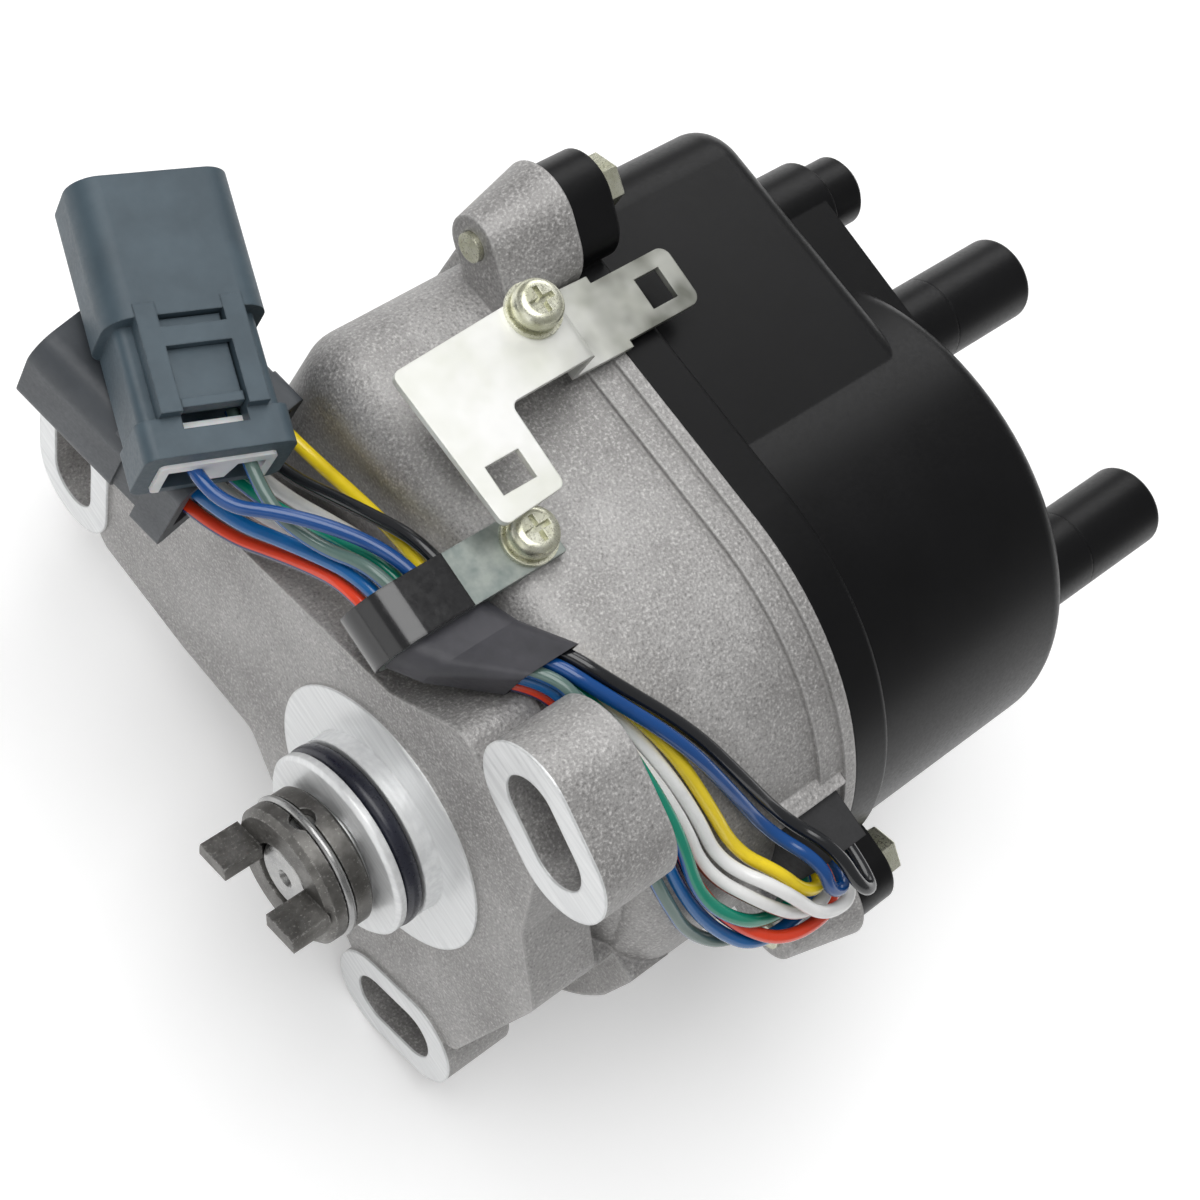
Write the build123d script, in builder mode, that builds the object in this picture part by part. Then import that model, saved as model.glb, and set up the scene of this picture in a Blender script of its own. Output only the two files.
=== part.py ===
from build123d import *
import math
import os

# The shaft lies along X with its drive end at -X and the cap at +X.
# The coil box of the housing points to +Y, and Z is up as the unit lies on its back.
# The origin is the centre of the pilot, on the machined mounting face.

# Fits between pieces
FIT = 0.02
RUN = 0.05
GAP = 0.3

# Mounting side of the housing
PILOT_R = 16.0
PILOT_LENGTH = 8.7
RING_R = 23.85
CAST_STEP = 0.8
FLANGE_T = 12.8
EAR_R = 9.7
EAR_STRAIGHT = 10.0
SLOT_R = 5.2
SLOT_STRAIGHT = 8.4
EARS = ((79.2, -25.1), (-16.5, 47.5), (-27.9, -43.5))
FLANGE_POINTS = ((84, -12), (60, 6), (13, 29), (2, 42), (-20, 38), (-27, 20), (-38, 7.5),
                 (-38, -30), (-22, -48), (-12, -43), (15, -32.5), (25.5, -26), (44, -31.5), (68, -36))
FLANGE_CORNER = 4.0
REAR_GUSSET = (-32.55, -17.0)
REAR_GUSSET_SIZE = (21.7, 46.0)
TOP_GUSSET = (-14.0, 34.0)
TOP_GUSSET_SIZE = (28.0, 17.0)
TOP_GUSSET_TURN = 20.0
FLANGE_RIBS = ((34.0, -7.0), (34.0, -24.0))
FLANGE_RIB_SIZE = (46.0, 5.0)
FLANGE_RIB_TURN = -18.0

# Bell and coil box of the housing
PARTING = 60.0
WALL = 3.5
SIDE_LEAN = 6.6
BELL_R = 43.4
BELL_DRAFT = 1.0
BELL_FRONT = 18.0
BELL_ROUND = 8.0
BOX_TOP = 65.2
BOX_CORNER = 10.0
BAND_STEP = 1.0
BAND_X = 53.0
RIM_X = 57.6
RIM_R = 46.0
RIM_TOP = 70.0
FLOOR_X = 21.5
HUB_R = 27.0

# Shaft and what carries it
SHAFT_R = 6.0
SHAFT_END = -17.9
ROTOR_SEAT_X = 60.0
ROTOR_STUB_R = 4.5
ROTOR_STUB = 15.0
ROTOR_FLAT = 3.2
BUSH_R = 8.0
BUSH_LENGTH = 11.0
SEAL_R = 11.0
SEAL_W = 7.0
BEARING_R = 14.0
BEARING_W = 8.0
BALL_R = 2.38
BALLS = 8

# Drive coupling
COUPLING_R = 12.0
COUPLING_FRONT = -18.2
COUPLING_W = 8.3
DOG_ANGLE = 62.0
DOG_T = 2.8
DOG_LENGTH = 7.0
DOG_INNER = 5.2
DOG_RISE = 1.6
PIN_X = -14.2
PIN_R = 2.0
CLIP_WIRE = 1.5
FLOAT = 0.4

# Mounting O-ring
O_RING_X = -5.07
O_RING_W = 3.4
O_RING_T = 3.0
O_RING_PROUD = 0.12

# Cap
CAP_RIM_W = 8.0
CAP_R = 44.5
CAP_END = 114.5
CAP_WALL = 3.3
CAP_BOX_R = 43.2
CAP_BOX_TOP = 68.5
CAP_BOX_END = 107.0
CAP_ROUND = 4.0
TOWER_PITCH_R = 33.0
TOWER_ANGLE = 53.0
TOWERS = 4
TOWER_R = 7.6
TOWER_END = 145.0
SOCKET_R = 4.2
SOCKET_DEPTH = 19.0
TOWER_ROUND = 1.0
COIL_POST = (48.0, 25.0)
COIL_POST_R = 8.25
COIL_POST_END = 120.0
COIL_TIP_R = 6.25
COIL_TIP_END = 128.0

# Cap screws, M5 with 8 mm hexagon
CAP_SCREWS = ((63.0, 44.5), (-51.0, 0.0), (38.0, -47.5))
CAP_EAR_R = 7.0
CAP_EAR_T = 9.0
M5_R = 2.5
HEX_FLATS = 8.0
HEX_T = 4.0
M5_WASHER_R = 5.0
WASHER_T = 1.0
BOSS_R = 8.5
BOSS_TIP_R = 5.0
BOSS_START = 46.5
BOSS_REACH = 2.0
M5_TIP = 45.6
CAP_SEAL_T = 1.5

# Rotor, brush and terminals
ROTOR_R = 29.7
ROTOR_TOP = 90.0
ROTOR_HUB_R = 11.0
ROTOR_SCREW_X = 74.0
ELECTRODE_T = 1.6
BRUSH_R = 2.5
BRUSH_LENGTH = 8.0
BRUSH_TRAVEL = 1.5
TERMINAL_R = 2.5
TERMINAL_X = 86.0
STRIP_X = 104.6
STRIP_T = 0.8
STRIP_W = 4.0
ROD_R = 1.5

# Sheet-metal bracket over the housing
SHEET = 1.2
PLATE_Z = 51.4
TONGUE_Z = 43.0
BEND_X = 48.9
PLATE_POINTS = ((17.9, 49.5), (48.8, 51.2), (60.5, 50.8), (60.5, 49.5), (76.0, 49.5), (76.0, 38.8),
                (60.5, 38.8), (60.5, 37.6), (48.9, 37.8), (31.6, 37.5), (31.5, 23.2), (19.4, 22.5))
PLATE_WINDOW = (25.2, 28.8, 6.3, 4.9)
TONGUE_WINDOW = (70.1, 44.0, 5.2, 5.6)
BRACKET_SCREW = (43.5, 48.0)
BRACKET_BOSS_R = 3.8
BRACKET_FOOT = 36.0

# P-clamp of the harness
CLAMP_SCREW = (26.0, 20.4)
CLAMP_Y = 20.4
CLAMP_W = 9.0
STRAP_T = 1.0
STRAP_Z = 42.4
CLAMP_BOSS_R = 4.6
CLAMP_FOOT = 32.2
STRAP_END = 30.2
LOOP_X = 8.0
LOOP_STRAIGHT = 8.8
LOOP_R = 4.9
CUSHION_T = 0.7

# Pan-head screws, M4
M4_R = 2.0
PAN_R = 4.0
PAN_T = 2.6
M4_LENGTH = 11.0
M4_WASHER_R = 4.6
M4_WASHER_T = 0.8

# Rubber grommet and its lipped pocket, low on the bell
GROMMET_X = (44.5, 55.9)
GROMMET_Y = (-44.0, -33.5)
GROMMET_Z = (12.2, 27.2)
POCKET_LIP = 1.5
POCKET_EDGE_Y = -36.5

# Inside the bell
POST_R = 4.0
PLATE_POSTS = ((14.0, 27.0), (14.0, -27.0), (-24.0, 18.0))
PLATE_X = 30.0
PLATE_T = 1.5
PLATE_R = 27.0
RETAINER_T = 1.6
RETAINER_R = 20.5
RETAINER_HOLES_R = 17.2
RELUCTOR_X = (34.0, 41.0, 48.0)
RELUCTOR_TEETH = (24, 4, 1)
RELUCTOR_R = 15.5
RELUCTOR_T = 3.0
TOOTH_H = 2.0
PICKUP_ANGLES = (170.0, 235.0, 330.0)
PICKUP_GAP = 0.8
COVER_X = 57.6
COVER_T = 1.6
CORE_X = 26.0
CORE_T = 4.0
CORE_LEG = 7.0
CORE_TOP = 44.0
COIL_Y = (36.0, 58.0)
COIL_HALF = 26.0
COIL_TOP = 50.0
COIL_NOSE_R = 5.0
COIL_NOSE_END = 58.0
MODULE_Y = (-34.0, -28.0)
MODULE_Z = (-12.0, 8.0)
MODULE_TOP = 46.0
COIL_SCREW_Y = 40.0
COIL_SCREW_Z = 30.3

# Connectors: body, collar and hood as width and height, seen from the wire end
A_PLACE = ((-4.9, 54.4, 28.6), -19.0)
A_BODY = (21.2, 12.0)
A_COLLAR = (22.8, 13.4)
A_HOOD = (24.6, 15.0)
A_REACH = (20.0, 42.5)
A_ROOT = 20.0
A_FLOOR = 24.0
A_WAYS = ((-4.4, 7.4), (4.7, 7.4))
B_PLACE = ((3.7, 56.6, 28.4), 11.5)
B_BODY = (25.4, 16.5)
B_COLLAR = (26.6, 19.8)
B_HOOD = (27.0, 18.2)
B_REACH = (10.0, 30.0)
B_ROOT = 17.0
B_FLOOR = 17.5
B_WAYS = ((-9.0, 5.0), (-3.0, 5.0), (3.0, 5.0), (9.0, 5.0), (9.0, 11.0), (3.0, 11.0), (-3.0, 11.0))
SHELL_T = 1.8
HOOD_ROUND = 4.5
LATCH_W = 9.2
LATCH_T = 1.1
LATCH_START = 5.8
RAIL_W = 3.2
RAIL_H = 3.2
POCKET_D = 2.0
WIRE_START = 9.0
BLADE = (1.8, 0.8)

# Harness: nine wires, spread flat in the clamp and packed where the sleeve ends
WIRE_R = 1.1
CLAMP_PITCH = 4.2
CLAMP_SHEAR = 1.4
SLEEVE_PITCH = 2.6
CLAMP_ROWS = 2.65
SLEEVE_ROWS = 2.95
SLEEVE_T = 0.35
SLEEVE_TIP = (15.4, 3.0, 46.1)
SLEEVE_NARROWING = 7.8
SLEEVE_CORNER = 2.8
EXIT_X = (46.6, 50.2, 53.8)
EXIT_Z = (15.2, 19.7, 24.2)
EXIT_TRACK = (-47.2, -49.65, -52.1)
EXIT_END = -42.5
LOW = 45.3
HIGH = 47.8


def bell_outline(radius, top, corner):
    lean = math.radians(SIDE_LEAN)
    touch = (radius * math.sin(lean), radius * math.cos(lean))
    side = touch[1] - (top - touch[0]) * math.tan(lean)
    with BuildSketch() as outline:
        with BuildLine():
            Line(touch, (top, side))
            Line((top, side), (top, -side))
            Line((top, -side), (touch[0], -touch[1]))
            ThreePointArc((touch[0], -touch[1]), (-radius, 0), touch)
        make_face()
        fillet(outline.vertices().group_by(Axis.X)[-1], corner)
    return outline.sketch


def around_x(points):
    with BuildPart() as turned:
        with BuildSketch(Plane.XY):
            with BuildLine():
                Polyline(*points, close=True)
            make_face()
        revolve(axis=Axis.X)
    return turned.part


def ring_x(start, end, inner, outer):
    return around_x(((start, inner), (start, outer), (end, outer), (end, inner)))


def toward(spot, reach):
    length = math.hypot(*spot)
    return (spot[0] * (1 - reach / length), spot[1] * (1 - reach / length))


def pan_screw(shank_length):
    with BuildPart() as screw:
        with BuildSketch():
            Circle(PAN_R)
        extrude(amount=PAN_T)
        fillet(screw.edges().group_by(Axis.Z)[-1], PAN_T * 0.6)
        with BuildSketch(Plane.XY.offset(PAN_T - 1.4)):
            Rectangle(PAN_R * 1.1, 0.9)
            Rectangle(0.9, PAN_R * 1.1)
        extrude(amount=2, mode=Mode.SUBTRACT)
        with BuildSketch():
            Circle(M4_R - RUN)
        extrude(amount=-shank_length)
    return screw.part


def flat_washer(outer, inner, thickness):
    with BuildPart() as washer:
        with BuildSketch():
            Circle(outer)
            Circle(inner, mode=Mode.SUBTRACT)
        extrude(amount=thickness)
    return washer.part


def facing_x(x, y, z):
    return Location((x, y, z), (0, 90, 0))


def save(piece, name):
    piece.label = name
    export_step(piece, "parts/" + name + ".step")


os.makedirs("parts", exist_ok=True)
ears = [Location((y, z), math.degrees(math.atan2(z, y)) + 90) for y, z in EARS]
socket_floor = TOWER_END - SOCKET_DEPTH
tower_spots = [(TOWER_PITCH_R * math.cos(math.radians(TOWER_ANGLE + 360 * i / TOWERS)),
                TOWER_PITCH_R * math.sin(math.radians(TOWER_ANGLE + 360 * i / TOWERS))) for i in range(TOWERS)]
flange_back = CAST_STEP + FLANGE_T
cavity_r = BELL_R - WALL
bearing_x = FLOOR_X - BEARING_W
seal_x = bearing_x - 0.5 - SEAL_W
bush_x = 0.5 - PILOT_LENGTH
groove_r = PILOT_R + O_RING_PROUD - O_RING_T
top_seats = ((BRACKET_SCREW, PLATE_Z + SHEET), (CLAMP_SCREW, STRAP_Z + 2 * STRAP_T))
coil_posts = [(COIL_SCREW_Y, side * COIL_SCREW_Z) for side in (1, -1)]
brush_x = ROTOR_TOP + ELECTRODE_T + RUN
brush_end = brush_x + BRUSH_LENGTH
retainer_spots = [(RETAINER_HOLES_R * math.cos(math.radians(a)), RETAINER_HOLES_R * math.sin(math.radians(a)))
                  for a in (100, 280)]
inner_screws = ((FLOOR_X + RETAINER_T, retainer_spots, 8), (PLATE_X + PLATE_T, PLATE_POSTS, 10),
                (CORE_TOP, coil_posts, 22))
with BuildSketch() as seal_ring:
    add(bell_outline(RIM_R - 2.2, RIM_TOP - 2.2, BOX_CORNER - 2.2))
    add(bell_outline(RIM_R - 3.8, RIM_TOP - 3.8, BOX_CORNER - 3.8), mode=Mode.SUBTRACT)
seal_outline = seal_ring.sketch

# Bell with its coil box, drafted towards the drive end and rounded at the front
with BuildPart() as bell:
    with BuildSketch(Plane.YZ.offset(BELL_FRONT)):
        add(bell_outline(BELL_R, BOX_TOP, BOX_CORNER))
    extrude(amount=BAND_X - BELL_FRONT, taper=-BELL_DRAFT)
    fillet(bell.faces().sort_by(Axis.X)[0].edges(), BELL_ROUND)

# Room inside the bell, open at the parting face
with BuildPart() as cavity:
    with BuildSketch(Plane.YZ.offset(FLOOR_X)):
        add(bell_outline(cavity_r, BOX_TOP - WALL, BOX_CORNER - WALL))
    extrude(amount=PARTING - FLOOR_X)
    fillet(cavity.faces().sort_by(Axis.X)[0].edges(), WALL)

# Tapered bosses for the cap screws, each run into the wall beside it
with BuildPart() as bosses:
    for spot in CAP_SCREWS:
        with BuildSketch(Plane.YZ.offset(BOSS_START)):
            SlotCenterPoint(toward(spot, 2 * BOSS_REACH), spot, 2 * BOSS_TIP_R)
        with BuildSketch(Plane.YZ.offset(PARTING)):
            SlotCenterPoint(toward(spot, BOSS_REACH), spot, 2 * BOSS_R)
        loft()

with BuildPart() as housing:
    with BuildSketch(Plane.YZ.offset(CAST_STEP)) as web:
        with BuildLine():
            Polyline(*FLANGE_POINTS, close=True)
        make_face()
        fillet(web.vertices(), FLANGE_CORNER)
        with Locations(*ears):
            SlotCenterToCenter(EAR_STRAIGHT, 2 * EAR_R)
    extrude(amount=FLANGE_T)
    with BuildSketch(Plane.YZ):
        with Locations(*ears):
            SlotCenterToCenter(EAR_STRAIGHT, 2 * EAR_R)
        Circle(RING_R)
    extrude(amount=CAST_STEP)
    # Neck between the flange and the bell, and the gussets behind the ears
    add(around_x(((CAST_STEP, 0), (CAST_STEP, HUB_R), (10, 29), (flange_back, 31), (19, 38),
                  (BELL_FRONT + 6, 38), (BELL_FRONT + 6, 0))))
    with BuildSketch(Plane.YZ.offset(flange_back)):
        with Locations(REAR_GUSSET):
            Rectangle(*REAR_GUSSET_SIZE)
        with Locations(TOP_GUSSET):
            Rectangle(*TOP_GUSSET_SIZE, rotation=TOP_GUSSET_TURN)
        Circle(BELL_R - 5, mode=Mode.INTERSECT)
        with Locations(*FLANGE_RIBS):
            Rectangle(*FLANGE_RIB_SIZE, rotation=FLANGE_RIB_TURN)
    extrude(amount=BELL_FRONT + 1 - flange_back)
    with BuildSketch(Plane.YZ.offset(BELL_FRONT)):
        with Locations(REAR_GUSSET):
            Rectangle(*REAR_GUSSET_SIZE)
        Circle(BELL_R + 0.3, mode=Mode.INTERSECT)
    extrude(amount=BELL_ROUND)
    add(bell.part)
    # Two raised bands at the open end
    with BuildSketch(Plane.YZ.offset(BAND_X)):
        add(bell_outline(RIM_R - BAND_STEP, RIM_TOP - 2, BOX_CORNER))
    extrude(amount=PARTING - BAND_X)
    with BuildSketch(Plane.YZ.offset(RIM_X)):
        add(bell_outline(RIM_R, RIM_TOP, BOX_CORNER))
    extrude(amount=PARTING - RIM_X)
    add(bosses.part)
    add(cavity.part, mode=Mode.SUBTRACT)
    # Lipped pocket of the grommet, shut off from the room inside
    with BuildSketch(Plane.YZ.offset(GROMMET_X[0] - POCKET_LIP)):
        with Locations(((POCKET_EDGE_Y + GROMMET_Y[1] + POCKET_LIP) / 2, sum(GROMMET_Z) / 2)):
            Rectangle(GROMMET_Y[1] + POCKET_LIP - POCKET_EDGE_Y, GROMMET_Z[1] - GROMMET_Z[0] + 2 * POCKET_LIP)
    extrude(amount=GROMMET_X[1] - GROMMET_X[0] + 2 * POCKET_LIP)
    with BuildSketch(Plane.YZ.offset(GROMMET_X[0])):
        with Locations((GROMMET_Y[1] - 15, sum(GROMMET_Z) / 2)):
            Rectangle(30, GROMMET_Z[1] - GROMMET_Z[0])
    extrude(amount=GROMMET_X[1] - GROMMET_X[0], mode=Mode.SUBTRACT)
    # Pilot spigot with the groove of the O-ring
    add(around_x(((1, 0), (1, PILOT_R), (-PILOT_LENGTH + 0.6, PILOT_R), (-PILOT_LENGTH, PILOT_R - 0.6),
                  (-PILOT_LENGTH, 0))))
    add(ring_x(O_RING_X - O_RING_W / 2 - 0.2, O_RING_X + O_RING_W / 2 + 0.2, groove_r, PILOT_R + 1),
        mode=Mode.SUBTRACT)
    # Stepped bore for the bush, the oil seal and the bearing
    add(around_x(((-PILOT_LENGTH - 1, 0), (-PILOT_LENGTH - 1, BUSH_R), (bush_x + BUSH_LENGTH, BUSH_R),
                  (bush_x + BUSH_LENGTH, SHAFT_R + 0.5), (seal_x, SHAFT_R + 0.5), (seal_x, SEAL_R),
                  (bearing_x, SEAL_R), (bearing_x, BEARING_R), (FLOOR_X + 1, BEARING_R), (FLOOR_X + 1, 0))),
        mode=Mode.SUBTRACT)
    # Adjustment slots through the ears
    with BuildSketch(Plane.YZ.offset(-1)):
        with Locations(*ears):
            SlotCenterToCenter(SLOT_STRAIGHT, 2 * SLOT_R)
    extrude(amount=flange_back + 2, mode=Mode.SUBTRACT)
    # Tapped holes of the cap screws and the groove of the cap seal
    with BuildSketch(Plane.YZ.offset(PARTING)):
        with Locations(*CAP_SCREWS):
            Circle(M5_R)
    extrude(amount=BOSS_START - PARTING - 2, mode=Mode.SUBTRACT)
    with BuildSketch(Plane.YZ.offset(PARTING)):
        add(seal_outline)
    extrude(amount=-CAP_SEAL_T, mode=Mode.SUBTRACT)
    # Bosses on top for the bracket and the clamp
    with BuildSketch(Plane.XY.offset(PLATE_Z)):
        with Locations(BRACKET_SCREW):
            Circle(BRACKET_BOSS_R)
    extrude(amount=-(PLATE_Z - BRACKET_FOOT), taper=-1)
    with BuildSketch(Plane.XY.offset(STRAP_Z)):
        with Locations(CLAMP_SCREW):
            Circle(CLAMP_BOSS_R)
    extrude(amount=-(STRAP_Z - CLAMP_FOOT), taper=-4)
    # Posts on the floor for the pick-up plate and the coil
    with BuildSketch(Plane.YZ.offset(FLOOR_X - 1)):
        with Locations(*PLATE_POSTS):
            Circle(POST_R)
    extrude(amount=PLATE_X - FLOOR_X + 1)
    with BuildSketch(Plane.YZ.offset(FLOOR_X - 1)):
        with Locations(*coil_posts):
            Circle(POST_R)
    extrude(amount=CORE_X - FLOOR_X + 1)
    # Tapped M4 holes
    for spot, seat in top_seats:
        with BuildSketch(Plane.XY.offset(seat)):
            with Locations(spot):
                Circle(M4_R)
        extrude(amount=2 * M4_WASHER_T - M4_LENGTH - 0.5, mode=Mode.SUBTRACT)
    for seat, spots, length in inner_screws:
        with BuildSketch(Plane.YZ.offset(seat)):
            with Locations(*spots):
                Circle(M4_R)
        extrude(amount=-length - 0.5, mode=Mode.SUBTRACT)
save(housing.part, "housing")

# Cap: D-shaped rim, round body, coil box, towers and screw ears
with BuildPart() as cap_rim:
    with BuildSketch(Plane.YZ.offset(PARTING)):
        add(bell_outline(RIM_R, RIM_TOP, BOX_CORNER))
    extrude(amount=CAP_RIM_W)
    fillet(cap_rim.faces().sort_by(Axis.X)[-1].edges(), 1.2)
with BuildPart() as cap_box:
    with BuildSketch(Plane.YZ.offset(PARTING + 2)):
        add(bell_outline(CAP_BOX_R, CAP_BOX_TOP, BOX_CORNER))
    extrude(amount=CAP_BOX_END - PARTING - 2)
    fillet(cap_box.faces().sort_by(Axis.X)[-1].edges(), CAP_ROUND + 1)
with BuildPart() as cap_bell:
    with BuildSketch(Plane.YZ.offset(PARTING + 2)):
        Circle(CAP_R)
    extrude(amount=CAP_END - PARTING - 2)
    fillet(cap_bell.faces().sort_by(Axis.X)[-1].edges(), CAP_ROUND)
with BuildPart() as tower_root:
    with BuildSketch(Plane.YZ.offset(CAP_END - CAP_WALL)):
        Circle(TOWER_R)
    extrude(amount=socket_floor - CAP_END + CAP_WALL)
with BuildPart() as cap:
    add(cap_rim.part)
    add(cap_box.part)
    add(cap_bell.part)
    for spot in tower_spots:
        add(tower_root.part.moved(Location((0, *spot))))
    # Raised post over the coil outlet, and the web from it to the nearest tower
    add(around_x(((CAP_BOX_END - 5, 0), (CAP_BOX_END - 5, COIL_POST_R), (COIL_POST_END - 1, COIL_POST_R),
                  (COIL_POST_END, COIL_POST_R - 1), (COIL_POST_END, COIL_TIP_R),
                  (COIL_TIP_END - 1, COIL_TIP_R),
                  (COIL_TIP_END, COIL_TIP_R - 1), (COIL_TIP_END, 0))).moved(Location((0, *COIL_POST))))
    with BuildSketch(Plane.YZ.offset(CAP_BOX_END - 5)):
        SlotCenterPoint(((COIL_POST[0] + tower_spots[0][0]) / 2, (COIL_POST[1] + tower_spots[0][1]) / 2),
                        COIL_POST, 2 * COIL_POST_R - 1)
    extrude(amount=CAP_END + 3 - CAP_BOX_END + 5)
    # Screw ears
    for spot in CAP_SCREWS:
        with BuildSketch(Plane.YZ.offset(PARTING)):
            SlotCenterPoint(toward(spot, BOSS_REACH), spot, 2 * CAP_EAR_R)
        extrude(amount=CAP_EAR_T)
    # Room inside, with ribs left for the brush holder and the coil outlet
    with BuildSketch(Plane.YZ.offset(PARTING)):
        Circle(CAP_R - CAP_WALL)
    extrude(amount=CAP_END - CAP_WALL - PARTING, mode=Mode.SUBTRACT)
    with BuildSketch(Plane.YZ.offset(PARTING)):
        add(bell_outline(CAP_BOX_R - CAP_WALL, CAP_BOX_TOP - CAP_WALL, BOX_CORNER - CAP_WALL))
    extrude(amount=CAP_BOX_END - CAP_WALL - PARTING, mode=Mode.SUBTRACT)
    add(ring_x(brush_x + BRUSH_TRAVEL, CAP_END - 1, 0, BRUSH_R + 2.5))
    with BuildSketch(Plane.YZ.offset(STRIP_X - 1.5)):
        SlotCenterPoint((COIL_POST[0] / 2, COIL_POST[1] / 2), COIL_POST, STRIP_W + 3)
    extrude(amount=CAP_END - STRIP_X)
    add(ring_x(COIL_NOSE_END + 4, STRIP_X, ROD_R + RUN, ROD_R + 2.2).moved(Location((0, *COIL_POST))))
    add(ring_x(COIL_NOSE_END + 3, STRIP_X, 0, ROD_R + RUN).moved(Location((0, *COIL_POST))),
        mode=Mode.SUBTRACT)
    with BuildSketch(Plane.YZ.offset(STRIP_X)):
        SlotCenterPoint((COIL_POST[0] / 2, COIL_POST[1] / 2), COIL_POST, STRIP_W + 2 * RUN)
    extrude(amount=STRIP_T, mode=Mode.SUBTRACT)
    # Brush bore, seats of the lead terminals, screw holes
    add(ring_x(brush_x, STRIP_X, 0, BRUSH_R + RUN), mode=Mode.SUBTRACT)
    for spot in tower_spots:
        add(ring_x(TERMINAL_X, socket_floor + 1, 0, TERMINAL_R).moved(Location((0, *spot))),
            mode=Mode.SUBTRACT)
    with BuildSketch(Plane.YZ.offset(PARTING)):
        with Locations(*CAP_SCREWS):
            Circle(M5_R + 0.25)
    extrude(amount=CAP_EAR_T + 20, mode=Mode.SUBTRACT)
save(cap.part, "cap")

# Open ends of the towers with the lead sockets, moulded on above the sockets' floor
with BuildPart() as lead_tower:
    with BuildSketch(Plane.YZ.offset(socket_floor)):
        Circle(TOWER_R)
    extrude(amount=SOCKET_DEPTH)
    fillet(lead_tower.faces().sort_by(Axis.X)[-1].edges(), TOWER_ROUND)
    with BuildSketch(Plane.YZ.offset(socket_floor)):
        Circle(SOCKET_R)
    extrude(amount=SOCKET_DEPTH, mode=Mode.SUBTRACT)
with BuildPart() as cap_towers:
    for spot in tower_spots:
        add(lead_tower.part.moved(Location((0, *spot))))
save(cap_towers.part, "cap_towers")

with BuildPart() as cap_seal:
    with BuildSketch(Plane.YZ.offset(PARTING)):
        add(seal_outline)
    extrude(amount=-CAP_SEAL_T)
save(cap_seal.part, "cap_seal")

ear_face = PARTING + CAP_EAR_T
with BuildPart() as hex_screw:
    with BuildSketch():
        RegularPolygon(HEX_FLATS / 2, 6, major_radius=False)
    extrude(amount=HEX_T)
    chamfer(hex_screw.edges().group_by(Axis.Z)[-1], 0.5)
    with BuildSketch():
        Circle(M5_R - RUN)
    extrude(amount=-(ear_face + WASHER_T - M5_TIP))
with BuildPart() as cap_screws:
    with Locations(*[facing_x(ear_face + WASHER_T, *spot) for spot in CAP_SCREWS]):
        add(hex_screw.part)
save(cap_screws.part, "cap_screws")
with BuildPart() as cap_washers:
    with Locations(*[facing_x(ear_face, *spot) for spot in CAP_SCREWS]):
        add(flat_washer(M5_WASHER_R, M5_R + RUN, WASHER_T))
save(cap_washers.part, "cap_washers")

# Drive shaft: shoulder behind the bearing, flat for the rotor, centre hole and cross hole at the drive end
shoulder_end = RELUCTOR_X[0] - 2
stub_end = ROTOR_SEAT_X + ROTOR_STUB
pin_line = (0, math.cos(math.radians(DOG_ANGLE)), math.sin(math.radians(DOG_ANGLE)))
pin_plane = Plane(origin=(PIN_X, 0, 0), x_dir=(1, 0, 0), z_dir=pin_line)
with BuildPart() as drive_shaft:
    add(around_x(((SHAFT_END, 0), (SHAFT_END, SHAFT_R - 0.7), (SHAFT_END + 0.7, SHAFT_R), (FLOOR_X, SHAFT_R),
                  (FLOOR_X, SHAFT_R + 2), (shoulder_end, SHAFT_R + 2), (shoulder_end, SHAFT_R),
                  (ROTOR_SEAT_X, SHAFT_R), (ROTOR_SEAT_X, ROTOR_STUB_R), (stub_end - 0.5, ROTOR_STUB_R),
                  (stub_end, ROTOR_STUB_R - 0.5), (stub_end, 0))))
    with BuildSketch(Plane.YZ.offset(ROTOR_SEAT_X)):
        with Locations((0, ROTOR_FLAT + 5)):
            Rectangle(20, 10)
    extrude(amount=ROTOR_STUB + 1, mode=Mode.SUBTRACT)
    add(around_x(((SHAFT_END - 1, 0), (SHAFT_END - 1, 2.2), (SHAFT_END + 1.2, 0.9), (SHAFT_END + 4, 0.9),
                  (SHAFT_END + 4.5, 0))), mode=Mode.SUBTRACT)
    with BuildSketch(pin_plane):
        Circle(PIN_R)
    extrude(amount=SHAFT_R + 1, both=True, mode=Mode.SUBTRACT)
save(drive_shaft.part, "drive_shaft")

# Drive coupling: ring with two dogs set off to one side, floating on a cross pin under a wire ring
coupling_back = COUPLING_FRONT + COUPLING_W
clip_groove_r = COUPLING_R - 1.1
coupling_bore = SHAFT_R + FLOAT + 0.1
with BuildPart() as drive_coupling:
    add(around_x(((COUPLING_FRONT, coupling_bore), (COUPLING_FRONT, COUPLING_R - 1),
                  (COUPLING_FRONT + 1, COUPLING_R),
                  (PIN_X - 0.9, COUPLING_R), (PIN_X - 0.9, clip_groove_r), (PIN_X + 0.9, clip_groove_r),
                  (PIN_X + 0.9, COUPLING_R), (coupling_back - 0.6, COUPLING_R),
                  (coupling_back, COUPLING_R - 0.6), (coupling_back, coupling_bore))))
    with BuildSketch(Plane.YZ.offset(COUPLING_FRONT)):
        with Locations((DOG_RISE * pin_line[1], DOG_RISE * pin_line[2])):
            Rectangle(3 * COUPLING_R, DOG_T, rotation=DOG_ANGLE - 90)
            Rectangle(2 * DOG_INNER, DOG_T + 1, rotation=DOG_ANGLE - 90, mode=Mode.SUBTRACT)
        Circle(COUPLING_R - 0.1, mode=Mode.INTERSECT)
    extrude(amount=-DOG_LENGTH)
    with BuildSketch(pin_plane):
        Circle(PIN_R + RUN)
    extrude(amount=COUPLING_R + 1, both=True, mode=Mode.SUBTRACT)
save(drive_coupling.part, "drive_coupling")

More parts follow.
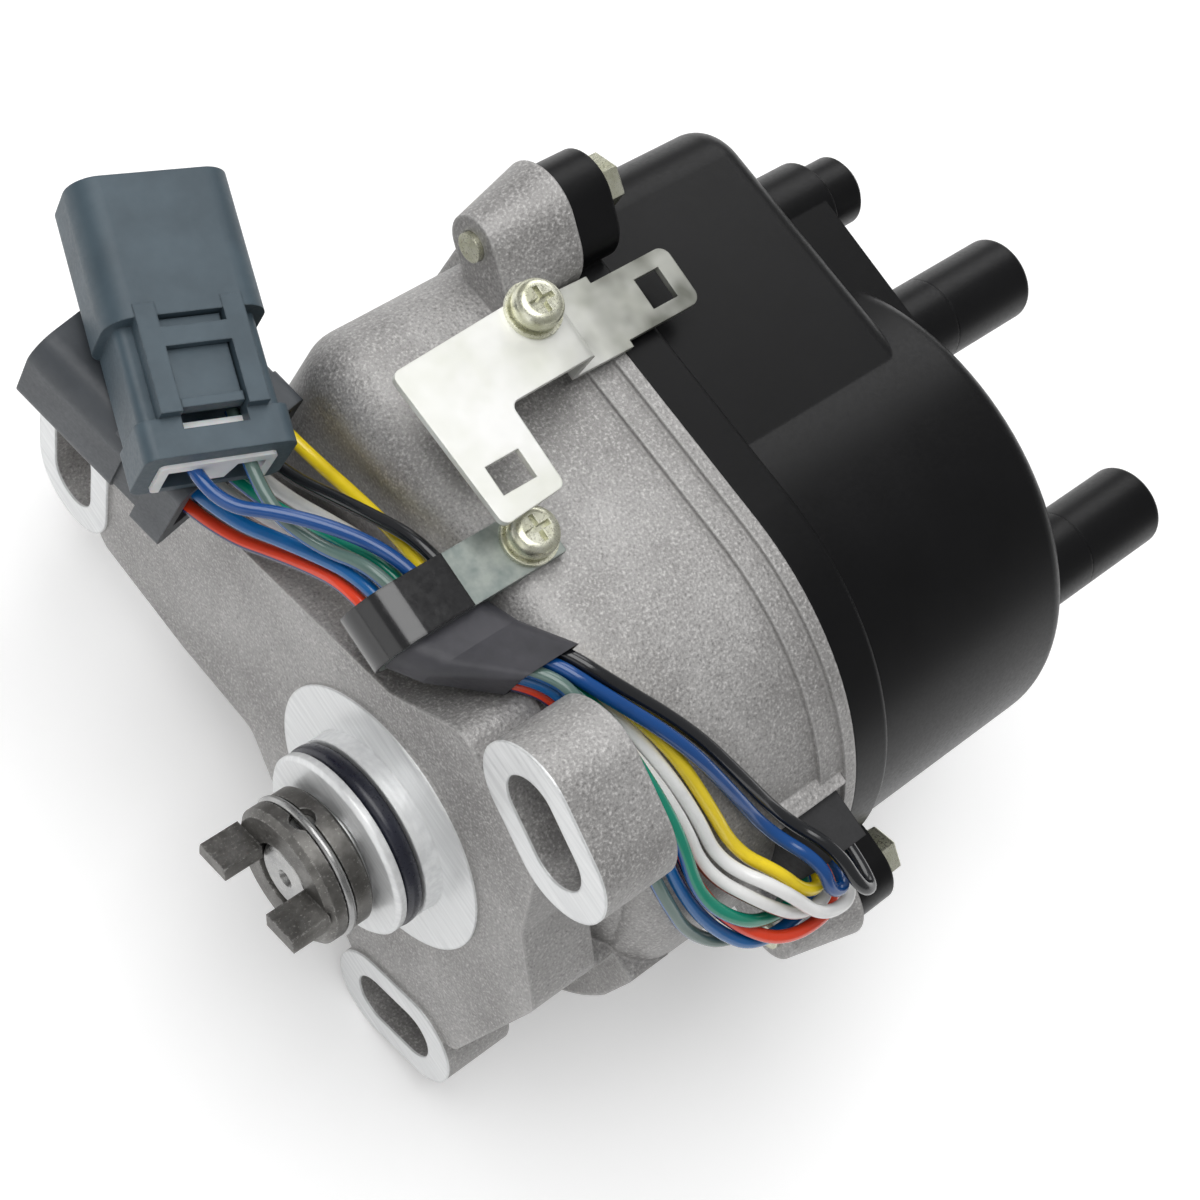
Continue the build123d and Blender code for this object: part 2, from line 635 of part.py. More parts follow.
with BuildPart() as coupling_pin:
    with BuildSketch(pin_plane):
        Circle(PIN_R - FIT)
    extrude(amount=clip_groove_r - FLOAT - 0.1, both=True)
save(coupling_pin.part, "coupling_pin")

with BuildPart() as coupling_clip_ring:
    with BuildSketch(Plane.XY):
        with Locations((PIN_X, clip_groove_r + CLIP_WIRE / 2 + FIT)):
            Circle(CLIP_WIRE / 2)
    revolve(axis=Axis.X, revolution_arc=345)
save(coupling_clip_ring.part, "coupling_clip_ring")

thrust_washer = ring_x(coupling_back + 0.1, -PILOT_LENGTH - 0.1, SHAFT_R + RUN, PILOT_R - 6.5)
save(thrust_washer, "thrust_washer")

with BuildPart() as mounting_o_ring:
    with BuildSketch(Plane.XY):
        with Locations((O_RING_X, groove_r + RUN + O_RING_T / 2 - RUN / 2)):
            RectangleRounded(O_RING_W, O_RING_T - RUN, 1.4)
    revolve(axis=Axis.X)
save(mounting_o_ring.part, "mounting_o_ring")

# Bush, oil seal and ball bearing on the shaft
shaft_bush = ring_x(bush_x, bush_x + BUSH_LENGTH, SHAFT_R + RUN, BUSH_R - FIT)
save(shaft_bush, "shaft_bush")
oil_seal = around_x(((seal_x, SHAFT_R + 1.2), (seal_x, SEAL_R - FIT), (seal_x + SEAL_W, SEAL_R - FIT),
                     (seal_x + SEAL_W, SEAL_R - 2), (seal_x + 1.6, SEAL_R - 2), (seal_x + 1.6, SHAFT_R + 2),
                     (seal_x + 4.4, SHAFT_R + 1), (seal_x + 3.4, SHAFT_R + RUN)))
save(oil_seal, "oil_seal")

pitch_r = (SHAFT_R + BEARING_R) / 2
bearing_mid = bearing_x + BEARING_W / 2


def race(inner, outer):
    with BuildPart() as ring:
        with BuildSketch(Plane.XY):
            with Locations((bearing_mid, (inner + outer) / 2)):
                Rectangle(BEARING_W, outer - inner)
            with Locations((bearing_mid, pitch_r)):
                Circle(BALL_R + RUN, mode=Mode.SUBTRACT)
        revolve(axis=Axis.X)
    return ring.part


save(race(pitch_r + 1.6, BEARING_R - FIT), "bearing_outer_race")
save(race(SHAFT_R + FIT, pitch_r - 1.6), "bearing_inner_race")
ball_spots = [(bearing_mid, pitch_r * math.cos(math.radians(360 * i / BALLS)),
               pitch_r * math.sin(math.radians(360 * i / BALLS))) for i in range(BALLS)]
with BuildPart() as bearing_balls:
    with Locations(*ball_spots):
        Sphere(BALL_R)
save(bearing_balls.part, "bearing_balls")
with BuildPart() as bearing_cage:
    add(ring_x(bearing_mid - 2.9, bearing_mid + 2.9, pitch_r - 0.8, pitch_r + 0.8))
    with Locations(*ball_spots):
        Sphere(BALL_R + RUN, mode=Mode.SUBTRACT)
save(bearing_cage.part, "bearing_cage")

with BuildPart() as bearing_retainer:
    with BuildSketch(Plane.YZ.offset(FLOOR_X)):
        Circle(RETAINER_R)
        Circle(BEARING_R - 3, mode=Mode.SUBTRACT)
        with Locations(*retainer_spots):
            Circle(M4_R + 0.2, mode=Mode.SUBTRACT)
    extrude(amount=RETAINER_T)
save(bearing_retainer.part, "bearing_retainer")

# Pick-up plate on its posts, with three pick-ups around the toothed wheels
with BuildPart() as pickup_plate:
    with BuildSketch(Plane.YZ.offset(PLATE_X)):
        Circle(PLATE_R)
        with Locations(*PLATE_POSTS):
            Circle(POST_R + 1)
        Circle(SHAFT_R + 4, mode=Mode.SUBTRACT)
        with Locations(*PLATE_POSTS):
            Circle(M4_R + 0.2, mode=Mode.SUBTRACT)
    extrude(amount=PLATE_T)
save(pickup_plate.part, "pickup_plate")


def reluctor(x, teeth):
    root = RELUCTOR_R - TOOTH_H
    tooth_w = 2.0 if teeth > 4 else 4.0
    with BuildPart() as wheel:
        add(ring_x(x - 2, x + 5, SHAFT_R + FIT, SHAFT_R + 3))
        with BuildSketch(Plane.YZ.offset(x)):
            Circle(root)
            with PolarLocations(root, teeth):
                Rectangle(2 * TOOTH_H, tooth_w)
            Circle(SHAFT_R + FIT, mode=Mode.SUBTRACT)
        extrude(amount=RELUCTOR_T)
    return wheel.part


reluctor_names = ("crank_reluctor", "timing_reluctor", "cylinder_reluctor")
for name, x, teeth in zip(reluctor_names, RELUCTOR_X, RELUCTOR_TEETH):
    save(reluctor(x, teeth), name)

with BuildPart() as pickups:
    for x, angle in zip(RELUCTOR_X, PICKUP_ANGLES):
        mid = x + RELUCTOR_T / 2
        with BuildPart(mode=Mode.PRIVATE) as pickup:
            with BuildSketch(Plane.YZ.offset(mid - 1.2)):
                with Locations((RELUCTOR_R + PICKUP_GAP + 4, 0)):
                    Rectangle(8, 3)
            extrude(amount=2.4)
            with BuildSketch(Plane.YZ.offset(PLATE_X + PLATE_T)):
                with Locations((RELUCTOR_R + 7, 0)):
                    RectangleRounded(7, 10, 1.5)
            extrude(amount=mid + 4 - PLATE_X - PLATE_T)
        add(pickup.part.rotate(Axis.X, angle))
save(pickups.part, "pickups")

with BuildPart() as ignition_module:
    with BuildSketch(Plane.YZ.offset(FLOOR_X)):
        with Locations(((MODULE_Y[0] + MODULE_Y[1]) / 2, (MODULE_Z[0] + MODULE_Z[1]) / 2)):
            RectangleRounded(MODULE_Y[1] - MODULE_Y[0], MODULE_Z[1] - MODULE_Z[0], 1.5)
    extrude(amount=MODULE_TOP - FLOOR_X)
    with BuildSketch(Plane.YZ.offset(MODULE_TOP)):
        with Locations(((MODULE_Y[0] + MODULE_Y[1]) / 2, (MODULE_Z[0] + MODULE_Z[1]) / 2)):
            with GridLocations(0, 5, 1, 4):
                Rectangle(0.8, 2.5)
    extrude(amount=5)
save(ignition_module.part, "ignition_module")

# Ignition coil in its laminated U-shaped core
coil_mid = (COIL_Y[0] + COIL_Y[1]) / 2
with BuildPart() as coil_core:
    with BuildSketch(Plane.YZ.offset(CORE_X)):
        with Locations((coil_mid, 0)):
            Rectangle(COIL_Y[1] - COIL_Y[0] - 2, 2 * (COIL_HALF + CORE_LEG))
        with Locations(*coil_posts):
            Circle(M4_R + 0.2, mode=Mode.SUBTRACT)
    extrude(amount=CORE_TOP - CORE_X)
    with BuildSketch(Plane.YZ.offset(CORE_X + CORE_T)):
        with Locations((coil_mid, 0)):
            Rectangle(COIL_Y[1] - COIL_Y[0], 2 * COIL_HALF + 0.2)
    extrude(amount=CORE_TOP - CORE_X, mode=Mode.SUBTRACT)
save(coil_core.part, "coil_core")
with BuildPart() as ignition_coil:
    with BuildSketch(Plane.YZ.offset(CORE_X + CORE_T)):
        with Locations((coil_mid, 0)):
            RectangleRounded(COIL_Y[1] - COIL_Y[0], 2 * COIL_HALF, 2)
    extrude(amount=COIL_TOP - CORE_X - CORE_T)
    fillet(ignition_coil.faces().sort_by(Axis.X)[-1].edges(), 1.5)
    add(around_x(((CORE_TOP + 2, 0), (CORE_TOP + 2, COIL_NOSE_R), (COIL_NOSE_END, COIL_NOSE_R - 0.6),
                  (COIL_NOSE_END, 0))).moved(Location((0, *COIL_POST))))
save(ignition_coil.part, "ignition_coil")

with BuildPart() as machine_screws:
    for seat, spots, length in inner_screws:
        for spot in spots:
            add(pan_screw(length).moved(facing_x(seat, *spot)))
save(machine_screws.part, "machine_screws")

with BuildPart() as inner_cover:
    with BuildSketch(Plane.YZ.offset(COVER_X)):
        add(bell_outline(cavity_r - GAP, BOX_TOP - WALL - GAP, BOX_CORNER - WALL))
        Circle(SHAFT_R + 2, mode=Mode.SUBTRACT)
        with Locations(COIL_POST):
            Circle(COIL_NOSE_R + 0.5, mode=Mode.SUBTRACT)
    extrude(amount=COVER_T)
save(inner_cover.part, "inner_cover")

# Rotor pointing at the first tower, with its electrode and side screw
tip_line = (math.cos(math.radians(TOWER_ANGLE)), math.sin(math.radians(TOWER_ANGLE)))
with BuildPart() as rotor:
    add(ring_x(ROTOR_SEAT_X + 0.5, ROTOR_TOP - 6, 0, ROTOR_HUB_R))
    add(around_x(((64, 0), (64, 17), (66, 17), (69, ROTOR_HUB_R), (69, 0))))
    with BuildSketch(Plane.YZ.offset(ROTOR_TOP - 6)):
        Circle(ROTOR_HUB_R)
        with Locations((tip_line[0] * ROTOR_R / 2, tip_line[1] * ROTOR_R / 2)):
            Rectangle(ROTOR_R - 1, 9, rotation=TOWER_ANGLE)
        with Locations((-tip_line[0] * 10, -tip_line[1] * 10)):
            Rectangle(14, 12, rotation=TOWER_ANGLE)
    extrude(amount=6)
    with BuildSketch(Plane.YZ.offset(ROTOR_SEAT_X)):
        Circle(ROTOR_STUB_R + FIT)
        with Locations((0, ROTOR_FLAT + FIT + 5)):
            Rectangle(20, 10, mode=Mode.SUBTRACT)
    extrude(amount=ROTOR_STUB + 0.5, mode=Mode.SUBTRACT)
    with BuildSketch(Plane.XY.offset(ROTOR_HUB_R + 5)):
        with Locations((ROTOR_SCREW_X, 0)):
            Circle(PAN_R + 0.3)
    extrude(amount=-(5 + 2), mode=Mode.SUBTRACT)
    with BuildSketch(Plane.XY.offset(ROTOR_HUB_R)):
        with Locations((ROTOR_SCREW_X, 0)):
            Circle(M4_R)
    extrude(amount=-(ROTOR_HUB_R - 2), mode=Mode.SUBTRACT)
save(rotor.part, "rotor")
with BuildPart() as rotor_electrode:
    with BuildSketch(Plane.YZ.offset(ROTOR_TOP)):
        with Locations((tip_line[0] * (ROTOR_R - 4) / 2, tip_line[1] * (ROTOR_R - 4) / 2)):
            Rectangle(ROTOR_R + 4, 5, rotation=TOWER_ANGLE)
        Circle(ROTOR_R, mode=Mode.INTERSECT)
    extrude(amount=ELECTRODE_T)
save(rotor_electrode.part, "rotor_electrode")
rotor_screw_seat = ROTOR_HUB_R - 2
rotor_screw = pan_screw(rotor_screw_seat - ROTOR_FLAT - 0.1)
rotor_screw = rotor_screw.moved(Location((ROTOR_SCREW_X, 0, rotor_screw_seat)))
save(rotor_screw, "rotor_screw")

# Carbon brush with its spring, contact strip and rod from the coil, and the tower terminals
carbon_brush = around_x(((brush_x, 0), (brush_x, BRUSH_R - 0.8), (brush_x + 0.8, BRUSH_R - FIT),
                         (brush_end, BRUSH_R - FIT), (brush_end, 0)))
save(carbon_brush, "carbon_brush")
with BuildPart() as brush_spring:
    with BuildLine():
        coil_line = Helix(pitch=(STRIP_X - brush_end - 0.8) / 4, height=STRIP_X - brush_end - 0.8,
                          radius=1.8, center=(brush_end + 0.4, 0, 0), direction=(1, 0, 0))
    with BuildSketch(Plane(origin=coil_line @ 0, z_dir=coil_line % 0)):
        Circle(0.3)
    sweep(path=coil_line)
save(brush_spring.part, "brush_spring")
with BuildPart() as cap_contact_strip:
    with BuildSketch(Plane.YZ.offset(STRIP_X)):
        SlotCenterPoint((COIL_POST[0] / 2, COIL_POST[1] / 2), COIL_POST, STRIP_W)
    extrude(amount=STRIP_T)
save(cap_contact_strip.part, "cap_contact_strip")
coil_contact_rod = ring_x(COIL_NOSE_END, STRIP_X, 0, ROD_R).moved(Location((0, *COIL_POST)))
save(coil_contact_rod, "coil_contact_rod")
with BuildPart() as tower_terminals:
    for spot in tower_spots:
        add(ring_x(TERMINAL_X, socket_floor, 0, TERMINAL_R - FIT).moved(Location((0, *spot))))
save(tower_terminals.part, "tower_terminals")

# Sheet-metal bracket: stepped side profile cut to the outline seen from above
with BuildPart() as connector_bracket:
    with BuildSketch(Plane.XZ.offset(-60)) as side_view:
        with BuildLine():
            Polyline((10, PLATE_Z), (10, PLATE_Z + SHEET), (BEND_X, PLATE_Z + SHEET),
                     (BEND_X, TONGUE_Z + SHEET),
                     (90, TONGUE_Z + SHEET), (90, TONGUE_Z), (BEND_X - SHEET, TONGUE_Z),
                     (BEND_X - SHEET, PLATE_Z), close=True)
        make_face()
        bends = side_view.vertices().filter_by_position(Axis.X, BEND_X - SHEET - 0.1, BEND_X + 0.1)
        fillet(bends.sort_by(Axis.Y)[-1], 1.8)
        fillet(side_view.vertices().filter_by_position(Axis.X, BEND_X - SHEET - 0.1, BEND_X + 0.1).sort_by(Axis.Y)[0],
               1.8)
    extrude(amount=50)
    with BuildSketch(Plane.XY.offset(TONGUE_Z - 2)) as plan_view:
        with BuildLine():
            Polyline(*PLATE_POINTS, close=True)
        make_face()
        fillet(plan_view.vertices().filter_by_position(Axis.X, 70, 80), 2)
        fillet(plan_view.vertices().filter_by_position(Axis.X, 10, 33), 1.4)
        with Locations(PLATE_WINDOW[:2]):
            Rectangle(*PLATE_WINDOW[2:], mode=Mode.SUBTRACT)
        with Locations(TONGUE_WINDOW[:2]):
            Rectangle(*TONGUE_WINDOW[2:], mode=Mode.SUBTRACT)
        with Locations(BRACKET_SCREW):
            Circle(M4_R + 0.25, mode=Mode.SUBTRACT)
    extrude(amount=15, mode=Mode.INTERSECT)
save(connector_bracket.part, "connector_bracket")

# P-clamp: strap looped round the harness, both ends under one screw, with a vinyl cushion outside
strap_top = STRAP_Z + 2 * STRAP_T
loop_z = strap_top - STRAP_T - LOOP_R
clamp_plane = Plane.XZ.offset(-(CLAMP_Y + CLAMP_W / 2))
with BuildPart() as harness_clamp:
    with BuildSketch(clamp_plane):
        with Locations((LOOP_X, loop_z)):
            SlotCenterToCenter(LOOP_STRAIGHT, 2 * (LOOP_R + STRAP_T))
        with Locations(((LOOP_X + STRAP_END) / 2, strap_top - STRAP_T / 2)):
            Rectangle(STRAP_END - LOOP_X, STRAP_T)
        with Locations(((LOOP_X + LOOP_STRAIGHT / 2 + STRAP_END) / 2 + 1, STRAP_Z + STRAP_T / 2)):
            Rectangle(STRAP_END - LOOP_X - LOOP_STRAIGHT / 2 - 2, STRAP_T)
        with Locations((LOOP_X, loop_z)):
            SlotCenterToCenter(LOOP_STRAIGHT, 2 * LOOP_R, mode=Mode.SUBTRACT)
    extrude(amount=CLAMP_W)
    with BuildSketch(Plane.XY.offset(STRAP_Z - 1)):
        with Locations(CLAMP_SCREW):
            Circle(M4_R + 0.25)
    extrude(amount=5, mode=Mode.SUBTRACT)
save(harness_clamp.part, "harness_clamp")
with BuildPart() as clamp_cushion:
    with BuildSketch(clamp_plane):
        with Locations((LOOP_X, loop_z)):
            SlotCenterToCenter(LOOP_STRAIGHT, 2 * (LOOP_R + STRAP_T + CUSHION_T))
            SlotCenterToCenter(LOOP_STRAIGHT, 2 * (LOOP_R + STRAP_T), mode=Mode.SUBTRACT)
        with Locations((LOOP_X + LOOP_STRAIGHT / 2 + 10, loop_z)):
            Rectangle(20, 40, mode=Mode.SUBTRACT)
    extrude(amount=CLAMP_W)
save(clamp_cushion.part, "clamp_cushion")

with BuildPart() as top_screws:
    for spot, seat in top_seats:
        add(pan_screw(M4_LENGTH).moved(Location((*spot, seat + 2 * M4_WASHER_T))))
save(top_screws.part, "top_screws")
with BuildPart() as top_washers:
    for spot, seat in top_seats:
        add(flat_washer(M4_WASHER_R, M4_R + 0.1, M4_WASHER_T).moved(Location((*spot, seat))))
        upper_washer = flat_washer(M4_WASHER_R - 0.9, M4_R + 0.1, M4_WASHER_T)
        add(upper_washer.moved(Location((*spot, seat + M4_WASHER_T))))
save(top_washers.part, "top_washers")


def shell(body, collar, hood, reach, root, floor, ways):
    rail_v = (LATCH_W + 2 * GAP + RAIL_W) / 2
    with BuildPart() as part:
        with BuildSketch(Plane.XZ):
            with Locations((0, body[1] / 2)):
                RectangleRounded(*body, 1.5)
        extrude(amount=-(reach[0] + 3))
        with BuildSketch(Plane.XZ.offset(1)):
            with Locations((0, collar[1] / 2)):
                RectangleRounded(*collar, 2)
        extrude(amount=-6)
        with BuildSketch(Plane.XZ.offset(-reach[0])):
            with Locations((0, hood[1] / 2)):
                RectangleRounded(*hood, HOOD_ROUND)
        extrude(amount=-(reach[1] - reach[0]))
        # Recess under the latch, then the rails beside it and the bar across it
        with BuildSketch(Plane.XY.offset(body[1] - POCKET_D)):
            with Locations((0, (root + 3) / 2)):
                Rectangle(LATCH_W + 2 * GAP, root - 3)
        extrude(amount=20, mode=Mode.SUBTRACT)
        with BuildSketch(Plane.XY.offset(body[1] - 1)):
            with Locations((rail_v, (root + 7) / 2), (-rail_v, (root + 7) / 2)):
                Rectangle(RAIL_W, root - 3)
        extrude(amount=RAIL_H + 1)
        with BuildSketch(Plane.XY.offset(body[1] + 0.8 + LATCH_T)):
            with Locations((0, root - 3.5)):
                Rectangle(2 * rail_v + RAIL_W, 3)
        extrude(amount=RAIL_H - 0.8 - LATCH_T)
        # Room in the hood, room at the wire end, bores of the wires and slots of the blades
        with BuildSketch(Plane.XZ.offset(-reach[1])):
            with Locations((0, (hood[1] - SHELL_T) / 2)):
                RectangleRounded(hood[0] - 2 * SHELL_T, hood[1] - 3 * SHELL_T, HOOD_ROUND - SHELL_T)
        extrude(amount=reach[1] - floor, mode=Mode.SUBTRACT)
        with BuildSketch(Plane.XZ.offset(1)):
            with Locations((0, body[1] / 2)):
                RectangleRounded(body[0] - 2 * SHELL_T, body[1] - 3, 1)
        extrude(amount=-8, mode=Mode.SUBTRACT)
        with BuildSketch(Plane.XZ.offset(-6)):
            with Locations(*ways):
                Circle(WIRE_R + RUN)
        extrude(amount=6 - WIRE_START, mode=Mode.SUBTRACT)
        with BuildSketch(Plane.XZ.offset(-WIRE_START)):
            with Locations(*ways):
                Rectangle(BLADE[0] + 2 * RUN, BLADE[1] + 2 * RUN)
        extrude(amount=WIRE_START - floor - 1, mode=Mode.SUBTRACT)
    return part.part


def latch(body_height, root):
    with BuildPart() as part:
        with BuildSketch(Plane.XY.offset(body_height + 0.5)):
            with Locations((0, (LATCH_START + root - 0.2) / 2)):
                Rectangle(LATCH_W, root - 0.2 - LATCH_START)
        extrude(amount=LATCH_T)
        with BuildSketch(Plane.XY.offset(body_height)):
            with Locations((0, LATCH_START + 0.7)):
                Rectangle(LATCH_W, 1.4)
        extrude(amount=LATCH_T + 1.3)
    return part.part


def blades(ways, floor):
    with BuildPart() as part:
        with BuildSketch(Plane.XZ.offset(-WIRE_START)):
            with Locations(*ways):
                Rectangle(*BLADE)
        extrude(amount=WIRE_START - floor - 8)
    return part.part


def a_frame(piece):
    return piece.moved(Location(A_PLACE[0], (0, 0, A_PLACE[1])))


def b_frame(piece):
    return piece.moved(Location(B_PLACE[0], (0, 0, B_PLACE[1])) * Location((0, 0, 0), (0, 180, 0)))


def a_spot(way, along):
    turn = math.radians(A_PLACE[1])
    return (A_PLACE[0][0] + way[0] * math.cos(turn) - along * math.sin(turn),
            A_PLACE[0][1] + way[0] * math.sin(turn) + along * math.cos(turn), A_PLACE[0][2] + way[1])


def b_spot(way, along):
    turn = math.radians(B_PLACE[1])
    return (B_PLACE[0][0] - way[0] * math.cos(turn) - along * math.sin(turn),
            B_PLACE[0][1] - way[0] * math.sin(turn) + along * math.cos(turn), B_PLACE[0][2] - way[1])


# Connector A on top of connector B, which lies upside down on the edge of the flange
save(a_frame(shell(A_BODY, A_COLLAR, A_HOOD, A_REACH, A_ROOT, A_FLOOR, A_WAYS)), "connector_a_housing")
save(b_frame(shell(B_BODY, B_COLLAR, B_HOOD, B_REACH, B_ROOT, B_FLOOR, B_WAYS)), "connector_b_housing")
save(a_frame(latch(A_BODY[1], A_ROOT)), "connector_a_latch")
save(b_frame(latch(B_BODY[1], B_ROOT)), "connector_b_latch")
with BuildPart() as retainer_a:
    with BuildSketch(Plane.XZ.offset(1.6)):
        with Locations((0, A_BODY[1] / 2)):
            RectangleRounded(A_BODY[0] - 2 * SHELL_T - 2 * FIT, A_BODY[1] - 3 - 2 * FIT, 1)
        with Locations((0, A_BODY[1] / 2 - 2)):
            Rectangle(14.6, A_BODY[1] - 6.8 + 4, mode=Mode.SUBTRACT)
    extrude(amount=-6.6)
    with BuildSketch(Plane.XZ.offset(1.6)):
        with BuildLine():
            Polyline((-3.4, A_BODY[1] - 2), (3.4, A_BODY[1] - 2), (2, 4), (-2, 4), close=True)
        make_face()
    extrude(amount=-5)
save(a_frame(retainer_a.part), "connector_a_retainer")
with BuildPart() as retainer_b:
    with BuildSketch(Plane.XZ):
        with Locations((0, B_BODY[1] / 2)):
            RectangleRounded(B_BODY[0] - 2 * SHELL_T - 2 * FIT, B_BODY[1] - 3 - 2 * FIT, 1)
        with Locations(*B_WAYS):
            Circle(WIRE_R + RUN, mode=Mode.SUBTRACT)
    extrude(amount=-6)
save(b_frame(retainer_b.part), "connector_b_retainer")
with BuildPart() as connector_terminals:
    add(a_frame(blades(A_WAYS, A_FLOOR)))
    add(b_frame(blades(B_WAYS, B_FLOOR)))
save(connector_terminals.part, "connector_terminals")

# Shrunk sleeve from inside the clamp to where the wires fan out
sleeve_steps = ((22.0, 0.0), (15.8, 0.0), (13.2, 0.14), (11.0, 0.256), (SLEEVE_TIP[1], 0.95))


def sleeve_loft(wall):
    with BuildPart() as part:
        for y, share in sleeve_steps:
            middle = (LOOP_X + share * (SLEEVE_TIP[0] - LOOP_X), loop_z + share * (SLEEVE_TIP[2] - loop_z))
            with BuildSketch(Plane.XZ.offset(-y)):
                with Locations(middle):
                    RectangleRounded(LOOP_STRAIGHT + 2 * (LOOP_R - RUN - wall) - share * SLEEVE_NARROWING,
                                     2 * (LOOP_R - RUN - wall), LOOP_R - 3 * RUN - wall - share * SLEEVE_CORNER)
        loft(ruled=True)
    return part.part


with BuildPart() as harness_sleeve:
    add(sleeve_loft(0))
    add(sleeve_loft(SLEEVE_T), mode=Mode.SUBTRACT)
save(harness_sleeve.part, "harness_sleeve")

with BuildPart() as harness_grommet:
    with BuildSketch(Plane.XZ.offset(-GROMMET_Y[0] + 1)):
        with Locations((sum(GROMMET_X) / 2, sum(GROMMET_Z) / 2)):
            Rectangle(GROMMET_X[1] - GROMMET_X[0] - 2 * FIT, GROMMET_Z[1] - GROMMET_Z[0] - 2 * FIT)
    extrude(amount=-(GROMMET_Y[1] - FIT - GROMMET_Y[0] + 1))
    with BuildSketch(Plane.XZ.offset(-GROMMET_Y[0] + 1)):
        with Locations(*[(x, z) for x in EXIT_X for z in EXIT_Z]):
            Circle(WIRE_R + RUN)
    extrude(amount=-(EXIT_END - GROMMET_Y[0] + 1), mode=Mode.SUBTRACT)
save(harness_grommet.part, "harness_grommet")


def strand(column, row):
    side = column * CLAMP_PITCH + row * CLAMP_SHEAR
    low = loop_z + row * CLAMP_ROWS
    high = SLEEVE_TIP[2] + row * SLEEVE_ROWS
    return [(LOOP_X - 0.2 + side, 27.5, low), (LOOP_X + 0.2 + side, 13.2, low),
            (SLEEVE_TIP[0] + column * SLEEVE_PITCH, SLEEVE_TIP[1], high),
            (SLEEVE_TIP[0] + 2.9 + column * SLEEVE_PITCH, SLEEVE_TIP[1] - 6.5, high + 0.5)]


def over_bell(x, angle, radius):
    return (x, -radius * math.sin(math.radians(angle)), radius * math.cos(math.radians(angle)))


def exit_to(column, row):
    return [(EXIT_X[column], EXIT_TRACK[column], EXIT_Z[row]), (EXIT_X[column], EXIT_END, EXIT_Z[row])]


def turn_radii(points):
    radii = []
    for before, corner, after in zip(points, points[1:], points[2:]):
        first = Vector(*corner) - Vector(*before)
        second = Vector(*after) - Vector(*corner)
        half_turn = math.radians(first.get_angle(second)) / 2
        radii.append(0.45 * min(first.length, second.length) / math.tan(half_turn))
    return radii


def tube(points):
    with BuildPart() as part:
        with BuildLine() as run:
            FilletPolyline(*points, radius=turn_radii(points))
        with BuildSketch(Plane(origin=run.line @ 0, z_dir=run.line % 0)):
            Circle(WIRE_R)
        sweep(path=run.line)
    return part.part


# Routes of the wires through the clamp and the sleeve, over the bell and into the grommet
routes = {
    "wire_dark_blue": [a_spot(A_WAYS[0], WIRE_START), a_spot(A_WAYS[0], -6), (0, 40, 40.6), *strand(0, 1),
                       over_bell(27, 20, 49.1), over_bell(33.8, 35, 46.2), over_bell(40, 50, 45.6),
                       (44, -44, 31), (45.0, -49.2, 26.4), *exit_to(1, 2)],
    "wire_pale_green": [a_spot(A_WAYS[1], WIRE_START), a_spot(A_WAYS[1], -6), (0.8, 36.5, 35.6),
                        *strand(-1, 1),
                        over_bell(15.2, 20, 48.5), over_bell(16.1, 35, LOW), over_bell(19, 50, LOW),
                        (23.5, -41.5, 20.5), (31, -47, 15.6), *exit_to(0, 0)],
    "wire_yellow": [b_spot(B_WAYS[0], WIRE_START), b_spot(B_WAYS[0], -5), (14.5, 38, 30), *strand(1, 0),
                    over_bell(26.2, 20, 46.5), over_bell(29.8, 35, LOW), over_bell(33.5, 50, LOW),
                    (38, -41.5, 29), (41.7, -46.8, 25.8), *exit_to(0, 2)],
    "wire_black": [b_spot(B_WAYS[1], WIRE_START), b_spot(B_WAYS[1], -5), (10.5, 38, 35), *strand(1, 1),
                   over_bell(30.6, 20, 46.9), over_bell(37, 35, 45.6), over_bell(43.6, 50, 45.6),
                   (47.5, -43.5, 31), (49.4, -51.8, 27.4), *exit_to(2, 2)],
    "wire_teal": [b_spot(B_WAYS[2], WIRE_START), b_spot(B_WAYS[2], -5), (5, 36, 34), *strand(0, 0),
                  over_bell(19.6, 20, HIGH), over_bell(21.9, 35, HIGH), over_bell(23, 50, HIGH + 0.1),
                  (28.5, -44, 26.8), (36.5, -47.2, 21.5), *exit_to(0, 1)],
    "wire_light_blue": [b_spot(B_WAYS[3], WIRE_START), b_spot(B_WAYS[3], -5), (1, 38, 31), *strand(-1, 0),
                        over_bell(16.7, 20, 46.4), over_bell(19.4, 35, LOW), over_bell(21.8, 50, LOW),
                        (26.5, -43.4, 22.5), (34, -50, 17.5), *exit_to(1, 0)],
    "wire_red": [b_spot(B_WAYS[4], WIRE_START), b_spot(B_WAYS[4], -5), (1.5, 36, 28), *strand(-1, -1),
                 over_bell(19.1, 20, 45), over_bell(22.2, 35, LOW), over_bell(24.4, 50, LOW),
                 (29.5, -44.2, 22.5), (38, -52.1, 19.2), *exit_to(2, 0)],
    "wire_white_a": [b_spot(B_WAYS[5], WIRE_START), b_spot(B_WAYS[5], -5), (6, 36, 28), *strand(0, -1),
                     over_bell(21.4, 20, LOW), over_bell(24.7, 35, LOW), over_bell(27, 50, LOW),
                     (32.5, -43.8, 29), (41, -49.65, 21.5), *exit_to(1, 1)],
    "wire_white_b": [b_spot(B_WAYS[6], WIRE_START), b_spot(B_WAYS[6], -5), (11, 36, 28), *strand(1, -1),
                     over_bell(23.9, 20, 45), over_bell(27.2, 35, LOW), over_bell(30, 50, LOW),
                     (35.5, -43.8, 31.5), (44, -52.1, 22.2), *exit_to(2, 1)],
}
for name, points in routes.items():
    piece = tube(points)
    save(piece, name)
    print(name, "length", round(piece.volume / (math.pi * WIRE_R ** 2), 1), "radii",
          [round(r, 1) for r in turn_radii(points)])
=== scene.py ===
import bpy
import math
from mathutils import Matrix, Vector


